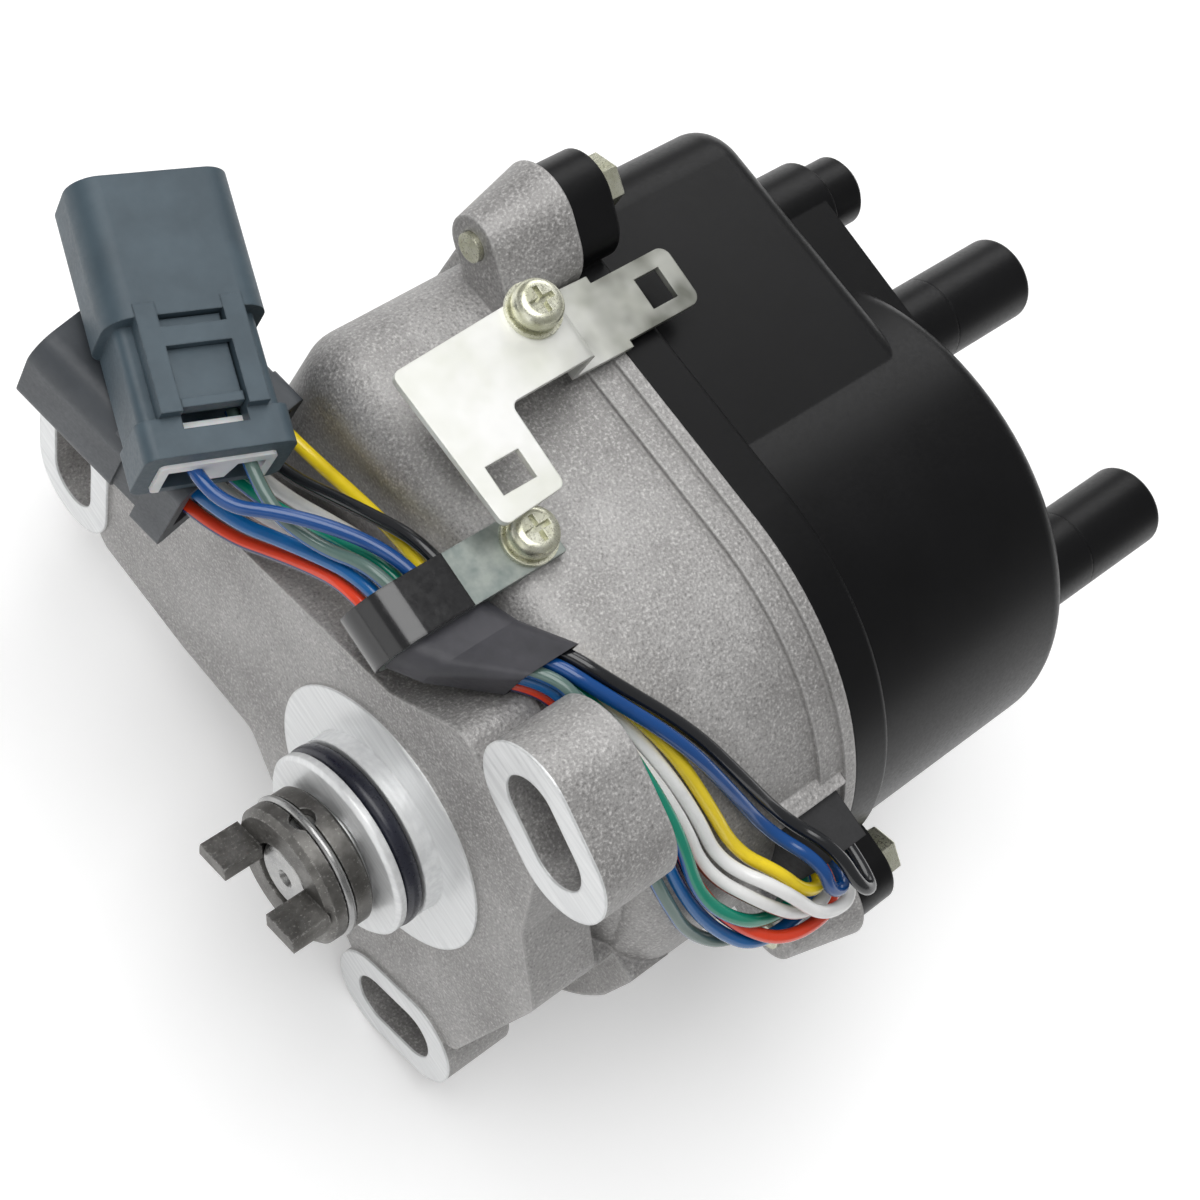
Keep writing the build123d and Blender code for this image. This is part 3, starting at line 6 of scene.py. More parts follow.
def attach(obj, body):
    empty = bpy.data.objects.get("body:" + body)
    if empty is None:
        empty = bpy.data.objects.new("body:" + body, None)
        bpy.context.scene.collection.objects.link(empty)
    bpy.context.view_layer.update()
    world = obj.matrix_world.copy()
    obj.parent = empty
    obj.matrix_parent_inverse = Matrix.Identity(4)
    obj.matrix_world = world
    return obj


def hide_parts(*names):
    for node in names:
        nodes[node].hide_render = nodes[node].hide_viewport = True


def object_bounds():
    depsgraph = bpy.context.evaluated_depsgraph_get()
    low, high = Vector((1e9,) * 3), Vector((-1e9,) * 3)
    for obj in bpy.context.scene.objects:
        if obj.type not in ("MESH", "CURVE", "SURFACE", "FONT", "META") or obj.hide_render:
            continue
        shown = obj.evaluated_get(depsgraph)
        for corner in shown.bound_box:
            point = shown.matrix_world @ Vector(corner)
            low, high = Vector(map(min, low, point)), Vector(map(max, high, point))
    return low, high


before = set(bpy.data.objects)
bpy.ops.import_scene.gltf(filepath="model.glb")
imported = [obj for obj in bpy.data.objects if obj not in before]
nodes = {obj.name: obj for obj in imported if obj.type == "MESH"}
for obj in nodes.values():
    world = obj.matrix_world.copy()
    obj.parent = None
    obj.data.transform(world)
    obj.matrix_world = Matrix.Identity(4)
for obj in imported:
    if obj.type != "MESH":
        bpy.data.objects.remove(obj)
cadBox = [list(corner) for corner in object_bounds()]
print("frame loaded with", len(nodes), "nodes")


# small helpers for the node trees

def add(tree, kind, **settings):
    node = tree.nodes.new("ShaderNode" + kind)
    for name, value in settings.items():
        setattr(node, name, value)
    return node


def feed(tree, node, values):
    for name, value in values.items():
        socket = node.inputs[name]
        if isinstance(value, bpy.types.NodeSocket):
            tree.links.new(value, socket)
        elif socket.type == "RGBA":
            socket.default_value = (*value, 1.0)  # colours are written without their alpha
        else:
            socket.default_value = value
    return node


def partCoords(tree, stretch=None):
    coords = add(tree, "TexCoord").outputs["Object"]
    if stretch is None:
        return coords
    return feed(tree, add(tree, "Mapping"), {"Vector": coords, "Scale": stretch}).outputs["Vector"]


def noiseAt(tree, scale, detail, rough, stretch=None):
    noise = feed(tree, add(tree, "TexNoise"), {"Vector": partCoords(tree, stretch), "Scale": scale,
                                               "Detail": detail, "Roughness": rough})
    return noise.outputs[0]


def spread(tree, value, low, high, toLow=0.0, toHigh=1.0):
    node = feed(tree, add(tree, "MapRange"), {"Value": value, "From Min": low, "From Max": high,
                                              "To Min": toLow, "To Max": toHigh})
    return node.outputs["Result"]


def maths(tree, operation, first, second):
    return feed(tree, add(tree, "Math", operation=operation), {0: first, 1: second}).outputs[0]


def blendColours(tree, factor, first, second):
    # inputs 6 and 7 of the mix node are its two colours, and output 2 is the mixed one
    node = feed(tree, add(tree, "Mix", data_type="RGBA"), {"Factor": factor, 6: first, 7: second})
    return node.outputs[2]


def roundedNormal(tree, radius, samples):
    return feed(tree, add(tree, "Bevel", samples=samples), {"Radius": radius}).outputs["Normal"]


wear = {"samples": 3, "sharpness": 0.18}


def edgeMask(tree, radius):
    # bright where the rounded surface turns away from the real one, so along the edges
    soft = roundedNormal(tree, radius, wear["samples"])
    hard = add(tree, "NewGeometry").outputs["Normal"]
    alike = feed(tree, add(tree, "VectorMath", operation="DOT_PRODUCT"), {0: soft, 1: hard})
    return spread(tree, alike.outputs["Value"], 1.0, 1.0 - wear["sharpness"])


def startMaterial(name):
    material = bpy.data.materials.new(name)
    material.use_nodes = True
    tree = material.node_tree
    tree.nodes.clear()
    shader = add(tree, "BsdfPrincipled")
    output = add(tree, "OutputMaterial")
    tree.links.new(shader.outputs["BSDF"], output.inputs["Surface"])
    return material, tree, shader


def bumpFrom(tree, height, strength, depth, normal=None):
    values = {"Height": height, "Strength": strength, "Distance": depth}
    if normal is not None:
        values["Normal"] = normal
    return feed(tree, add(tree, "Bump"), values).outputs["Normal"]


# noises are given as detail and roughness, and cuts as the two values that a noise is spread between
skin = {"patchNoise": (3.0, 0.6), "patchCut": (0.35, 0.65), "fineNoise": (5.0, 0.65), "fineCut": (0.3, 0.7),
        "fleckCut": (0.58, 0.72), "tongueShadeScale": 75.0, "tongueShadeNoise": (3.0, 0.55), "tongueShadeCut": (0.15, 0.6),
        "scuffTimes": 6, "scuffNoise": (4.0, 0.7), "scuffCut": (0.45, 0.62),
        "round": 0.0002, "roundSamples": 2}


def plainFinish(name, look):
    # two tones in patches, a fine grain, worn edges, painted shade towards a far end where asked, and a
    # little bump
    material, tree, shader = startMaterial(name)
    patches = noiseAt(tree, look["patch"], *skin["patchNoise"])
    fine = noiseAt(tree, look["grain"], *skin["fineNoise"], look.get("stretch"))
    colour = blendColours(tree, spread(tree, patches, *skin["patchCut"]), look["dark"], look["light"])
    if "fleck" in look:
        flecks = spread(tree, fine, *skin["fleckCut"], 0.0, look["fleckAmount"])
        colour = blendColours(tree, flecks, colour, look["fleck"])
    # painted shade: past a given x the colour is darkened in mottled patches, standing in for the shade and
    # dimmer reflection on a bent, tilted face
    if "paintedTongueShade" in look:
        along = feed(tree, add(tree, "SeparateXYZ"), {"Vector": partCoords(tree)}).outputs["X"]
        shadeMottle = spread(tree, noiseAt(tree, skin["tongueShadeScale"], *skin["tongueShadeNoise"]), *skin["tongueShadeCut"])
        farShare = spread(tree, along, look["paintedTongueShade"]["from"], look["paintedTongueShade"]["to"])
        paintedShade = maths(tree, "MULTIPLY", farShare, shadeMottle)
        colour = blendColours(tree, paintedShade, colour, look["paintedTongueShade"]["tone"])
    if "worn" in look:
        scuffNoise = noiseAt(tree, look["patch"] * skin["scuffTimes"], *skin["scuffNoise"])
        scuffs = spread(tree, scuffNoise, *skin["scuffCut"])
        rubbed = maths(tree, "MULTIPLY", edgeMask(tree, look["wornWidth"]), scuffs)
        bared = maths(tree, "MULTIPLY", rubbed, look["wornAmount"])
        colour = blendColours(tree, bared, colour, look["worn"])
    rough = spread(tree, fine, *skin["fineCut"], look["smooth"], look["coarse"])
    soft = roundedNormal(tree, look.get("round", skin["round"]), skin["roundSamples"])
    feed(tree, shader, {"Base Color": colour, "Metallic": look.get("metal", 0.0), "Roughness": rough,
                        "Normal": bumpFrom(tree, fine, look["bump"], look["depth"], soft)})
    feed(tree, shader, look.get("extra", {}))
    return material


# the housing: a sandy casting skin, and cut metal on the flange's front face, its ring and the spigot
castLook = {"dark": (0.29, 0.283, 0.277), "light": (0.41, 0.402, 0.396), "patch": 45.0,
            "patchNoise": (5.0, 0.6), "patchCut": (0.35, 0.65), "metal": 0.4,
            "round": 0.0006, "roundSamples": 3,
            "sand": (0.72, 0.705, 0.695), "sandScale": 2100.0, "sandNoise": (3.0, 0.6),
            "sandCut": (0.52, 0.72), "sandAmount": 0.7, "cellScale": 1680.0,
            "pit": (0.12, 0.116, 0.113), "pitCut": (0.45, 0.3), "pitAmount": 0.55,
            "roughCut": (0.3, 0.7), "sandRough": (0.42, 0.68),
            "handled": (0.78, 0.77, 0.76), "handledWidth": 0.0008, "handledAmount": 0.5,
            "lumpScale": 260.0, "lumpNoise": (4.0, 0.55), "lumpStrength": 0.25, "lumpDepth": 0.0006,
            "grainStrength": 0.35, "grainDepth": 0.00018}
cutLook = {"backTo": 0.0004, "fade": 0.0001, "dark": (0.74, 0.75, 0.755), "light": (0.86, 0.87, 0.87),
           "markScale": 900.0, "markNoise": (3.0, 0.5), "markStretch": (1.0, 0.06, 1.4),
           "markCut": (0.35, 0.65), "rough": (0.3, 0.45), "ringScale": 260.0, "ringWobble": 0.4,
           "height": 0.25}


def castAluminium():
    material, tree, shader = startMaterial("sand cast aluminium")
    coords = partCoords(tree)
    place = feed(tree, add(tree, "SeparateXYZ"), {"Vector": coords})
    patchNoise = noiseAt(tree, castLook["patch"], *castLook["patchNoise"])
    patches = spread(tree, patchNoise, *castLook["patchCut"])
    sand = noiseAt(tree, castLook["sandScale"], *castLook["sandNoise"])
    cells = feed(tree, add(tree, "TexVoronoi", feature="F1"),
                 {"Vector": coords, "Scale": castLook["cellScale"]})
    colour = blendColours(tree, patches, castLook["dark"], castLook["light"])
    grains = spread(tree, sand, *castLook["sandCut"], 0.0, castLook["sandAmount"])
    colour = blendColours(tree, grains, colour, castLook["sand"])
    pits = spread(tree, sand, *castLook["pitCut"], 0.0, castLook["pitAmount"])
    colour = blendColours(tree, pits, colour, castLook["pit"])
    handled = maths(tree, "MULTIPLY", edgeMask(tree, castLook["handledWidth"]), castLook["handledAmount"])
    colour = blendColours(tree, handled, colour, castLook["handled"])
    # cut faces lie in front of the casting skin
    onFace = spread(tree, place.outputs["X"], cutLook["backTo"], cutLook["backTo"] - cutLook["fade"])
    offFace = maths(tree, "SUBTRACT", 1.0, onFace)
    streaks = noiseAt(tree, cutLook["markScale"], *cutLook["markNoise"], cutLook["markStretch"])
    marks = spread(tree, streaks, *cutLook["markCut"])
    cutTone = blendColours(tree, marks, cutLook["dark"], cutLook["light"])
    colour = blendColours(tree, onFace, colour, cutTone)
    castRough = spread(tree, sand, *castLook["roughCut"], *castLook["sandRough"])
    cutRough = spread(tree, streaks, *cutLook["markCut"], *cutLook["rough"])
    rough = maths(tree, "ADD", maths(tree, "MULTIPLY", castRough, offFace),
                  maths(tree, "MULTIPLY", cutRough, onFace))
    rings = feed(tree, add(tree, "TexWave", wave_type="BANDS", bands_direction="X"),
                 {"Vector": coords, "Scale": cutLook["ringScale"], "Distortion": cutLook["ringWobble"]})
    grainHeight = maths(tree, "ADD", sand, cells.outputs["Distance"])
    markHeight = maths(tree, "ADD", rings.outputs["Fac"], streaks)
    height = maths(tree, "ADD", maths(tree, "MULTIPLY", grainHeight, offFace),
                   maths(tree, "MULTIPLY", markHeight, maths(tree, "MULTIPLY", onFace, cutLook["height"])))
    soft = roundedNormal(tree, castLook["round"], castLook["roundSamples"])
    lumpHeight = noiseAt(tree, castLook["lumpScale"], *castLook["lumpNoise"])
    lumps = bumpFrom(tree, lumpHeight, castLook["lumpStrength"], castLook["lumpDepth"], soft)
    grain = bumpFrom(tree, height, castLook["grainStrength"], castLook["grainDepth"], lumps)
    feed(tree, shader, {"Base Color": colour, "Metallic": castLook["metal"], "Roughness": rough,
                        "Normal": grain})
    return material


# patch and grain are noise scales per metre, and widths, depths and rounds are in metres
blackLook = {"dark": (0.0022, 0.0022, 0.0026), "light": (0.0042, 0.0042, 0.0048), "patch": 38.0,
             "grain": 1500.0, "smooth": 0.3, "coarse": 0.42, "bump": 0.12, "depth": 0.00008,
             "worn": (0.03, 0.03, 0.033), "wornWidth": 0.0005, "wornAmount": 0.5, "round": 0.0006,
             "extra": {"Specular IOR Level": 0.2}}
finishes = {
    "cap moulding": blackLook,
    "zinc screws": {"dark": (0.56, 0.56, 0.42), "light": (0.74, 0.74, 0.62), "patch": 320.0,
                    "grain": 2400.0, "metal": 0.9, "smooth": 0.2, "coarse": 0.42, "bump": 0.15,
                    "depth": 0.00005, "worn": (0.85, 0.85, 0.78), "wornWidth": 0.0003, "wornAmount": 0.7,
                    "round": 0.0002},
    "zinc sheet": {"dark": (0.76, 0.77, 0.70), "light": (0.90, 0.90, 0.88), "patch": 70.0, "grain": 900.0,
                   "metal": 0.4, "smooth": 0.30, "coarse": 0.36, "bump": 0.03, "depth": 0.00005,
                   "worn": (0.6, 0.62, 0.55), "wornWidth": 0.0002, "wornAmount": 0.5, "round": 0.0003,
                   # painted shade and painted reflection: the bent tongue beyond the plate is darkened,
                   # because its tilted face catches less light
                   "paintedTongueShade": {"from": 0.040, "to": 0.054, "tone": (0.17, 0.175, 0.15)}},
    "strap zinc": {"dark": (0.19, 0.225, 0.215), "light": (0.32, 0.35, 0.325), "patch": 260.0,
                   "grain": 1500.0, "metal": 0.7, "smooth": 0.34, "coarse": 0.5, "bump": 0.12,
                   "depth": 0.00006, "worn": (0.8, 0.8, 0.76), "wornWidth": 0.0002, "wornAmount": 0.6,
                   "round": 0.0003},
    "black vinyl": {"dark": (0.008, 0.008, 0.009), "light": (0.012, 0.012, 0.013), "patch": 60.0,
                    "grain": 700.0, "smooth": 0.1, "coarse": 0.2, "bump": 0.08, "depth": 0.0001,
                    "round": 0.0006, "extra": {"Coat Weight": 0.4, "Coat Roughness": 0.08}},
    "ground steel": {"dark": (0.30, 0.30, 0.30), "light": (0.44, 0.44, 0.43), "patch": 160.0,
                     "grain": 2600.0, "metal": 0.95, "smooth": 0.22, "coarse": 0.38, "bump": 0.12,
                     "depth": 0.00004, "stretch": (4.0, 0.4, 0.4), "worn": (0.75, 0.75, 0.74),
                     "wornWidth": 0.0003, "wornAmount": 0.6, "round": 0.0002},
    "dark steel": {"dark": (0.10, 0.096, 0.09), "light": (0.19, 0.185, 0.175), "patch": 230.0,
                   "grain": 1900.0, "metal": 0.85, "smooth": 0.34, "coarse": 0.55, "bump": 0.3,
                   "depth": 0.00008, "fleck": (0.5, 0.49, 0.46), "fleckAmount": 0.5,
                   "worn": (0.6, 0.59, 0.57), "wornWidth": 0.0005, "wornAmount": 0.8, "round": 0.0004},
    "bright steel": {"dark": (0.6, 0.6, 0.6), "light": (0.72, 0.72, 0.72), "patch": 200.0, "grain": 2000.0,
                     "metal": 1.0, "smooth": 0.12, "coarse": 0.24, "bump": 0.05, "depth": 0.00004,
                     "round": 0.0002},
    "sheet steel": {"dark": (0.45, 0.45, 0.43), "light": (0.58, 0.58, 0.56), "patch": 120.0,
                    "grain": 1500.0, "metal": 0.85, "smooth": 0.3, "coarse": 0.45, "bump": 0.1,
                    "depth": 0.00005, "stretch": (1.0, 0.2, 1.0)},
    "brass": {"dark": (0.55, 0.38, 0.13), "light": (0.74, 0.55, 0.24), "patch": 260.0, "grain": 2100.0,
              "metal": 0.95, "smooth": 0.22, "coarse": 0.38, "bump": 0.1, "depth": 0.00005},
    "oil bronze": {"dark": (0.33, 0.2, 0.08), "light": (0.5, 0.33, 0.15), "patch": 260.0, "grain": 2600.0,
                   "metal": 0.85, "smooth": 0.4, "coarse": 0.55, "bump": 0.2, "depth": 0.00006},
    "rubber": {"dark": (0.012, 0.012, 0.013), "light": (0.022, 0.022, 0.024), "patch": 90.0,
               "grain": 1400.0, "smooth": 0.5, "coarse": 0.68, "bump": 0.2, "depth": 0.0001,
               "round": 0.0003},
    "ring rubber": {"dark": (0.010, 0.011, 0.020), "light": (0.016, 0.018, 0.032), "patch": 90.0,
                    "grain": 1400.0, "smooth": 0.24, "coarse": 0.36, "bump": 0.08, "depth": 0.00008,
                    "round": 0.0003},
    "laminated core": {"dark": (0.05, 0.045, 0.04), "light": (0.12, 0.11, 0.10), "patch": 60.0,
                       "grain": 900.0, "metal": 0.5, "smooth": 0.4, "coarse": 0.6, "bump": 0.6,
                       "depth": 0.0002, "stretch": (8.0, 0.1, 0.1)},
    "resin": {"dark": (0.014, 0.012, 0.010), "light": (0.026, 0.022, 0.018), "patch": 60.0, "grain": 700.0,
              "smooth": 0.12, "coarse": 0.26, "bump": 0.12, "depth": 0.0001},
    "dark moulding": {"dark": (0.018, 0.018, 0.020), "light": (0.030, 0.030, 0.033), "patch": 70.0,
                      "grain": 1200.0, "smooth": 0.4, "coarse": 0.55, "bump": 0.15, "depth": 0.00008},
    "rotor moulding": {"dark": (0.05, 0.014, 0.010), "light": (0.09, 0.028, 0.018), "patch": 70.0,
                       "grain": 900.0, "smooth": 0.2, "coarse": 0.34, "bump": 0.1, "depth": 0.00008},
    "carbon": {"dark": (0.012, 0.012, 0.012), "light": (0.03, 0.03, 0.03), "patch": 300.0, "grain": 3000.0,
               "metal": 0.2, "smooth": 0.35, "coarse": 0.6, "bump": 0.3, "depth": 0.00006},
    "grey connector": {"dark": (0.042, 0.066, 0.084), "light": (0.058, 0.088, 0.110), "patch": 110.0,
                       "grain": 1500.0, "smooth": 0.42, "coarse": 0.56, "bump": 0.12, "depth": 0.00008,
                       "worn": (0.16, 0.20, 0.23), "wornWidth": 0.0003, "wornAmount": 0.5, "round": 0.0004},
    "dark connector": {"dark": (0.038, 0.044, 0.052), "light": (0.058, 0.065, 0.074), "patch": 110.0,
                       "grain": 1500.0, "smooth": 0.42, "coarse": 0.58, "bump": 0.12, "depth": 0.00008,
                       "worn": (0.18, 0.19, 0.2), "wornWidth": 0.0003, "wornAmount": 0.5, "round": 0.0004},
    "natural moulding": {"dark": (0.72, 0.73, 0.74), "light": (0.84, 0.84, 0.84), "patch": 150.0,
                         "grain": 1200.0, "smooth": 0.3, "coarse": 0.42, "bump": 0.1, "depth": 0.00008,
                         "extra": {"Subsurface Weight": 0.3, "Subsurface Scale": 0.001}},
    "shrunk tubing": {"dark": (0.030, 0.030, 0.036), "light": (0.050, 0.049, 0.058), "patch": 140.0,
                      "grain": 900.0, "smooth": 0.42, "coarse": 0.56, "bump": 0.25, "depth": 0.00015,
                      "stretch": (1.0, 0.35, 1.0)},
}

# which finish each piece of the solid model gets
nodeFinish = {
    "cap": "cap moulding", "cap_towers": "cap moulding", "cap_seal": "rubber", "cap_screws": "zinc screws",
    "cap_washers": "zinc screws", "drive_shaft": "ground steel", "drive_coupling": "dark steel",
    "coupling_pin": "ground steel", "coupling_clip_ring": "ground steel", "thrust_washer": "bright steel",
    "mounting_o_ring": "ring rubber", "shaft_bush": "oil bronze", "oil_seal": "rubber",
    "bearing_outer_race": "bright steel", "bearing_inner_race": "bright steel",
    "bearing_balls": "bright steel", "bearing_cage": "sheet steel", "bearing_retainer": "sheet steel",
    "pickup_plate": "sheet steel", "crank_reluctor": "dark steel", "timing_reluctor": "dark steel",
    "cylinder_reluctor": "dark steel", "pickups": "dark moulding", "ignition_module": "dark moulding",
    "coil_core": "laminated core", "ignition_coil": "resin", "machine_screws": "zinc screws",
    "inner_cover": "dark moulding", "rotor": "rotor moulding", "rotor_electrode": "brass",
    "rotor_screw": "zinc screws", "carbon_brush": "carbon", "brush_spring": "bright steel",
    "cap_contact_strip": "brass", "coil_contact_rod": "brass", "tower_terminals": "brass",
    "connector_bracket": "zinc sheet", "harness_clamp": "strap zinc", "clamp_cushion": "black vinyl",
    "top_screws": "zinc screws", "top_washers": "zinc screws", "connector_a_housing": "grey connector",
    "connector_b_housing": "dark connector", "connector_a_latch": "grey connector",
    "connector_b_latch": "dark connector", "connector_a_retainer": "natural moulding",
    "connector_b_retainer": "dark connector", "connector_terminals": "brass",
    "harness_sleeve": "shrunk tubing", "harness_grommet": "rubber",
}


def dress(obj, material):
    obj.data.materials.clear()
    obj.data.materials.append(material)


finishMaterials = {name: plainFinish(name, look) for name, look in finishes.items()}
dress(nodes["housing"], castAluminium())
for nodeName, finishName in nodeFinish.items():
    dress(nodes[nodeName], finishMaterials[finishName])
print("pieces dressed:", len(nodeFinish) + 1)

# the harness: each wire takes the route that it has in the solid model, written in millimetres
harness = {"radius": 0.0011, "bevel": 6, "perPoint": 14, "order": 3, "perMetre": 1000,
           "inside": 9.0, "swell": 1.008}
grey = {"place": (-4.9, 54.4, 28.6), "turn": -19.0, "flip": 1, "lead": -6.0,
        "ways": ((-4.4, 7.4), (4.7, 7.4))}
dark = {"place": (3.7, 56.6, 28.4), "turn": 11.5, "flip": -1, "lead": -5.0,
        "ways": ((-9.0, 5.0), (-3.0, 5.0), (3.0, 5.0), (9.0, 5.0), (9.0, 11.0), (3.0, 11.0), (-3.0, 11.0))}
loop = {"x": 8.0, "y": (27.5, 13.2), "z": 38.5, "lean": 0.2, "pitch": 4.2, "shear": 1.4, "rows": 2.65}
sleeve = {"tip": (15.4, 3.0, 46.1), "pitch": 2.6, "rows": 2.95, "out": (2.9, 6.5, 0.5)}
grommet = {"x": (46.6, 50.2, 53.8), "z": (15.2, 19.7, 24.2), "track": (-47.2, -49.65, -52.1), "end": -42.5}
lowTrack = 45.3  # how far from the shaft's axis the lower wires lie on the bell
highTrack = 47.8  # and those of the second layer


def fromConnector(connector, way, along):
    x, y, z = connector["place"]
    turn = math.radians(connector["turn"])
    side, rise = (connector["flip"] * value for value in connector["ways"][way])
    return (x + side * math.cos(turn) - along * math.sin(turn),
            y + side * math.sin(turn) + along * math.cos(turn), z + rise)


def leadFrom(connector, way):
    # from inside the connector to a little outside its wire end
    return [fromConnector(connector, way, along) for along in (harness["inside"], connector["lead"])]


def strand(column, row):
    # through the clamp's loop, then past the tip of the sleeve
    side = column * loop["pitch"] + row * loop["shear"]
    inClamp = loop["z"] + row * loop["rows"]
    yIn, yOut = loop["y"]
    tipX, tipY, tipZ = sleeve["tip"]
    outX, outY, outZ = sleeve["out"]
    atTip = tipZ + row * sleeve["rows"]
    return [(loop["x"] - loop["lean"] + side, yIn, inClamp),
            (loop["x"] + loop["lean"] + side, yOut, inClamp),
            (tipX + column * sleeve["pitch"], tipY, atTip),
            (tipX + outX + column * sleeve["pitch"], tipY - outY, atTip + outZ)]


def overBell(x, angle, radius):
    # the spline cuts its corners, so its points lie a little further out
    reach = radius * harness["swell"]
    return (x, -reach * math.sin(math.radians(angle)), reach * math.cos(math.radians(angle)))


def intoGrommet(column, row):
    x, z = grommet["x"][column], grommet["z"][row]
    return [(x, grommet["track"][column], z), (x, grommet["end"], z)]


wires = {
    "wire_dark_blue": {
        "length": 0.1500, "body": (0.003, 0.060, 0.235),
        "points": [*leadFrom(grey, 0), (0, 40, 40.6), *strand(0, 1),
                   overBell(27, 20, 49.1), overBell(33.8, 35, 46.2), overBell(40, 50, 45.6),
                   (44, -44, 31), (45.0, -49.2, 26.4), *intoGrommet(1, 2)]},
    "wire_pale_green": {
        "length": 0.1513, "body": (0.10, 0.165, 0.145), "stripe": (0.008, 0.085, 0.27),
        "points": [*leadFrom(grey, 1), (0.8, 36.5, 35.6), *strand(-1, 1),
                   overBell(15.2, 20, 48.5), overBell(16.1, 35, lowTrack), overBell(19, 50, lowTrack),
                   (23.5, -41.5, 20.5), (31, -47, 15.6), *intoGrommet(0, 0)]},
    "wire_yellow": {
        "length": 0.1405, "body": (0.88, 0.66, 0.02),
        "points": [*leadFrom(dark, 0), (14.5, 38, 30), *strand(1, 0),
                   overBell(26.2, 20, 46.5), overBell(29.8, 35, lowTrack), overBell(33.5, 50, lowTrack),
                   (38, -41.5, 29), (41.7, -46.8, 25.8), *intoGrommet(0, 2)]},
    "wire_black": {
        "length": 0.1541, "body": (0.010, 0.011, 0.013),
        "points": [*leadFrom(dark, 1), (10.5, 38, 35), *strand(1, 1),
                   overBell(30.6, 20, 46.9), overBell(37, 35, 45.6), overBell(43.6, 50, 45.6),
                   (47.5, -43.5, 31), (49.4, -51.8, 27.4), *intoGrommet(2, 2)]},
    "wire_teal": {
        "length": 0.1489, "body": (0.003, 0.235, 0.150), "stripe": (0.004, 0.085, 0.30),
        "points": [*leadFrom(dark, 2), (5, 36, 34), *strand(0, 0),
                   overBell(19.6, 20, highTrack), overBell(21.9, 35, highTrack), overBell(23, 50, 47.9),
                   (28.5, -44, 26.8), (36.5, -47.2, 21.5), *intoGrommet(0, 1)]},
    "wire_light_blue": {
        "length": 0.1589, "body": (0.004, 0.115, 0.345),
        "points": [*leadFrom(dark, 3), (1, 38, 31), *strand(-1, 0),
                   overBell(16.7, 20, 46.4), overBell(19.4, 35, lowTrack), overBell(21.8, 50, lowTrack),
                   (26.5, -43.4, 22.5), (34, -50, 17.5), *intoGrommet(1, 0)]},
    "wire_red": {
        "length": 0.1641, "body": (0.80, 0.055, 0.015), "stripe": (0.02, 0.02, 0.10),
        "points": [*leadFrom(dark, 4), (1.5, 36, 28), *strand(-1, -1),
                   overBell(19.1, 20, 45), overBell(22.2, 35, lowTrack), overBell(24.4, 50, lowTrack),
                   (29.5, -44.2, 22.5), (38, -52.1, 19.2), *intoGrommet(2, 0)]},
    "wire_white_a": {
        "length": 0.1532, "body": (0.80, 0.80, 0.79), "stripe": (0.16, 0.07, 0.05),
        "points": [*leadFrom(dark, 5), (6, 36, 28), *strand(0, -1),
                   overBell(21.4, 20, lowTrack), overBell(24.7, 35, lowTrack), overBell(27, 50, lowTrack),
                   (32.5, -43.8, 29), (41, -49.65, 21.5), *intoGrommet(1, 1)]},
    "wire_white_b": {
        "length": 0.1579, "body": (0.84, 0.84, 0.83),
        "points": [*leadFrom(dark, 6), (11, 36, 28), *strand(1, -1),
                   overBell(23.9, 20, 45), overBell(27.2, 35, lowTrack), overBell(30, 50, lowTrack),
                   (35.5, -43.8, 31.5), (44, -52.1, 22.2), *intoGrommet(2, 1)]},
}

insulation = {"fineNoise": (420.0, 2.0, 0.5), "fineCut": (0.3, 0.7), "gloss": (0.16, 0.24), "bump": 0.05,
              "depth": 0.00006, "dirtNoise": (160.0, 4.0, 0.6), "dirtCut": (0.5, 0.75), "dirtAmount": 0.35,
              "dirtShade": 0.6, "stripeAt": 0.5, "stripeEdge": (0.13, 0.11), "coat": 0.25, "coatRough": 0.12}


def wireInsulation(name, wire):
    material, tree, shader = startMaterial(name + " insulation")
    fine = noiseAt(tree, *insulation["fineNoise"])
    dirtNoise = noiseAt(tree, *insulation["dirtNoise"])
    dirt = spread(tree, dirtNoise, *insulation["dirtCut"], 0.0, insulation["dirtAmount"])
    soiled = tuple(insulation["dirtShade"] * channel for channel in wire["body"])
    colour = blendColours(tree, dirt, wire["body"], soiled)
    if "stripe" in wire:
        # Y of the curve's UV goes once around the wire
        curveUv = add(tree, "TexCoord").outputs["UV"]
        around = feed(tree, add(tree, "SeparateXYZ"), {"Vector": curveUv}).outputs["Y"]
        gap = maths(tree, "ABSOLUTE", maths(tree, "SUBTRACT", around, insulation["stripeAt"]), 0.0)
        colour = blendColours(tree, spread(tree, gap, *insulation["stripeEdge"]), colour, wire["stripe"])
    rough = spread(tree, fine, *insulation["fineCut"], *insulation["gloss"])
    grain = bumpFrom(tree, fine, insulation["bump"], insulation["depth"])
    feed(tree, shader, {"Base Color": colour, "Roughness": rough, "Normal": grain,
                        "Coat Weight": insulation["coat"], "Coat Roughness": insulation["coatRough"]})
    return material


def inMetres(place):
    return [value / harness["perMetre"] for value in place]


def drawWire(name, wire):
    curve = bpy.data.curves.new(name + "_line", "CURVE")
    curve.dimensions = "3D"
    curve.bevel_depth = harness["radius"]
    curve.bevel_resolution = harness["bevel"]
    curve.use_fill_caps = True
    curve.resolution_u = harness["perPoint"]
    spline = curve.splines.new("NURBS")
    spline.points.add(len(wire["points"]) - 1)
    for point, place in zip(spline.points, wire["points"]):
        point.co = (*inMetres(place), 1.0)
    spline.order_u = harness["order"]
    spline.use_endpoint_u = True
    piece = bpy.data.objects.new(name + "_lead", curve)
    bpy.context.scene.collection.objects.link(piece)
    piece.data.materials.append(wireInsulation(name, wire))
    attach(piece, "base")
    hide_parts(name)


for wireName, wire in wires.items():
    drawWire(wireName, wire)
print("harness drawn with", len(wires), "wires")

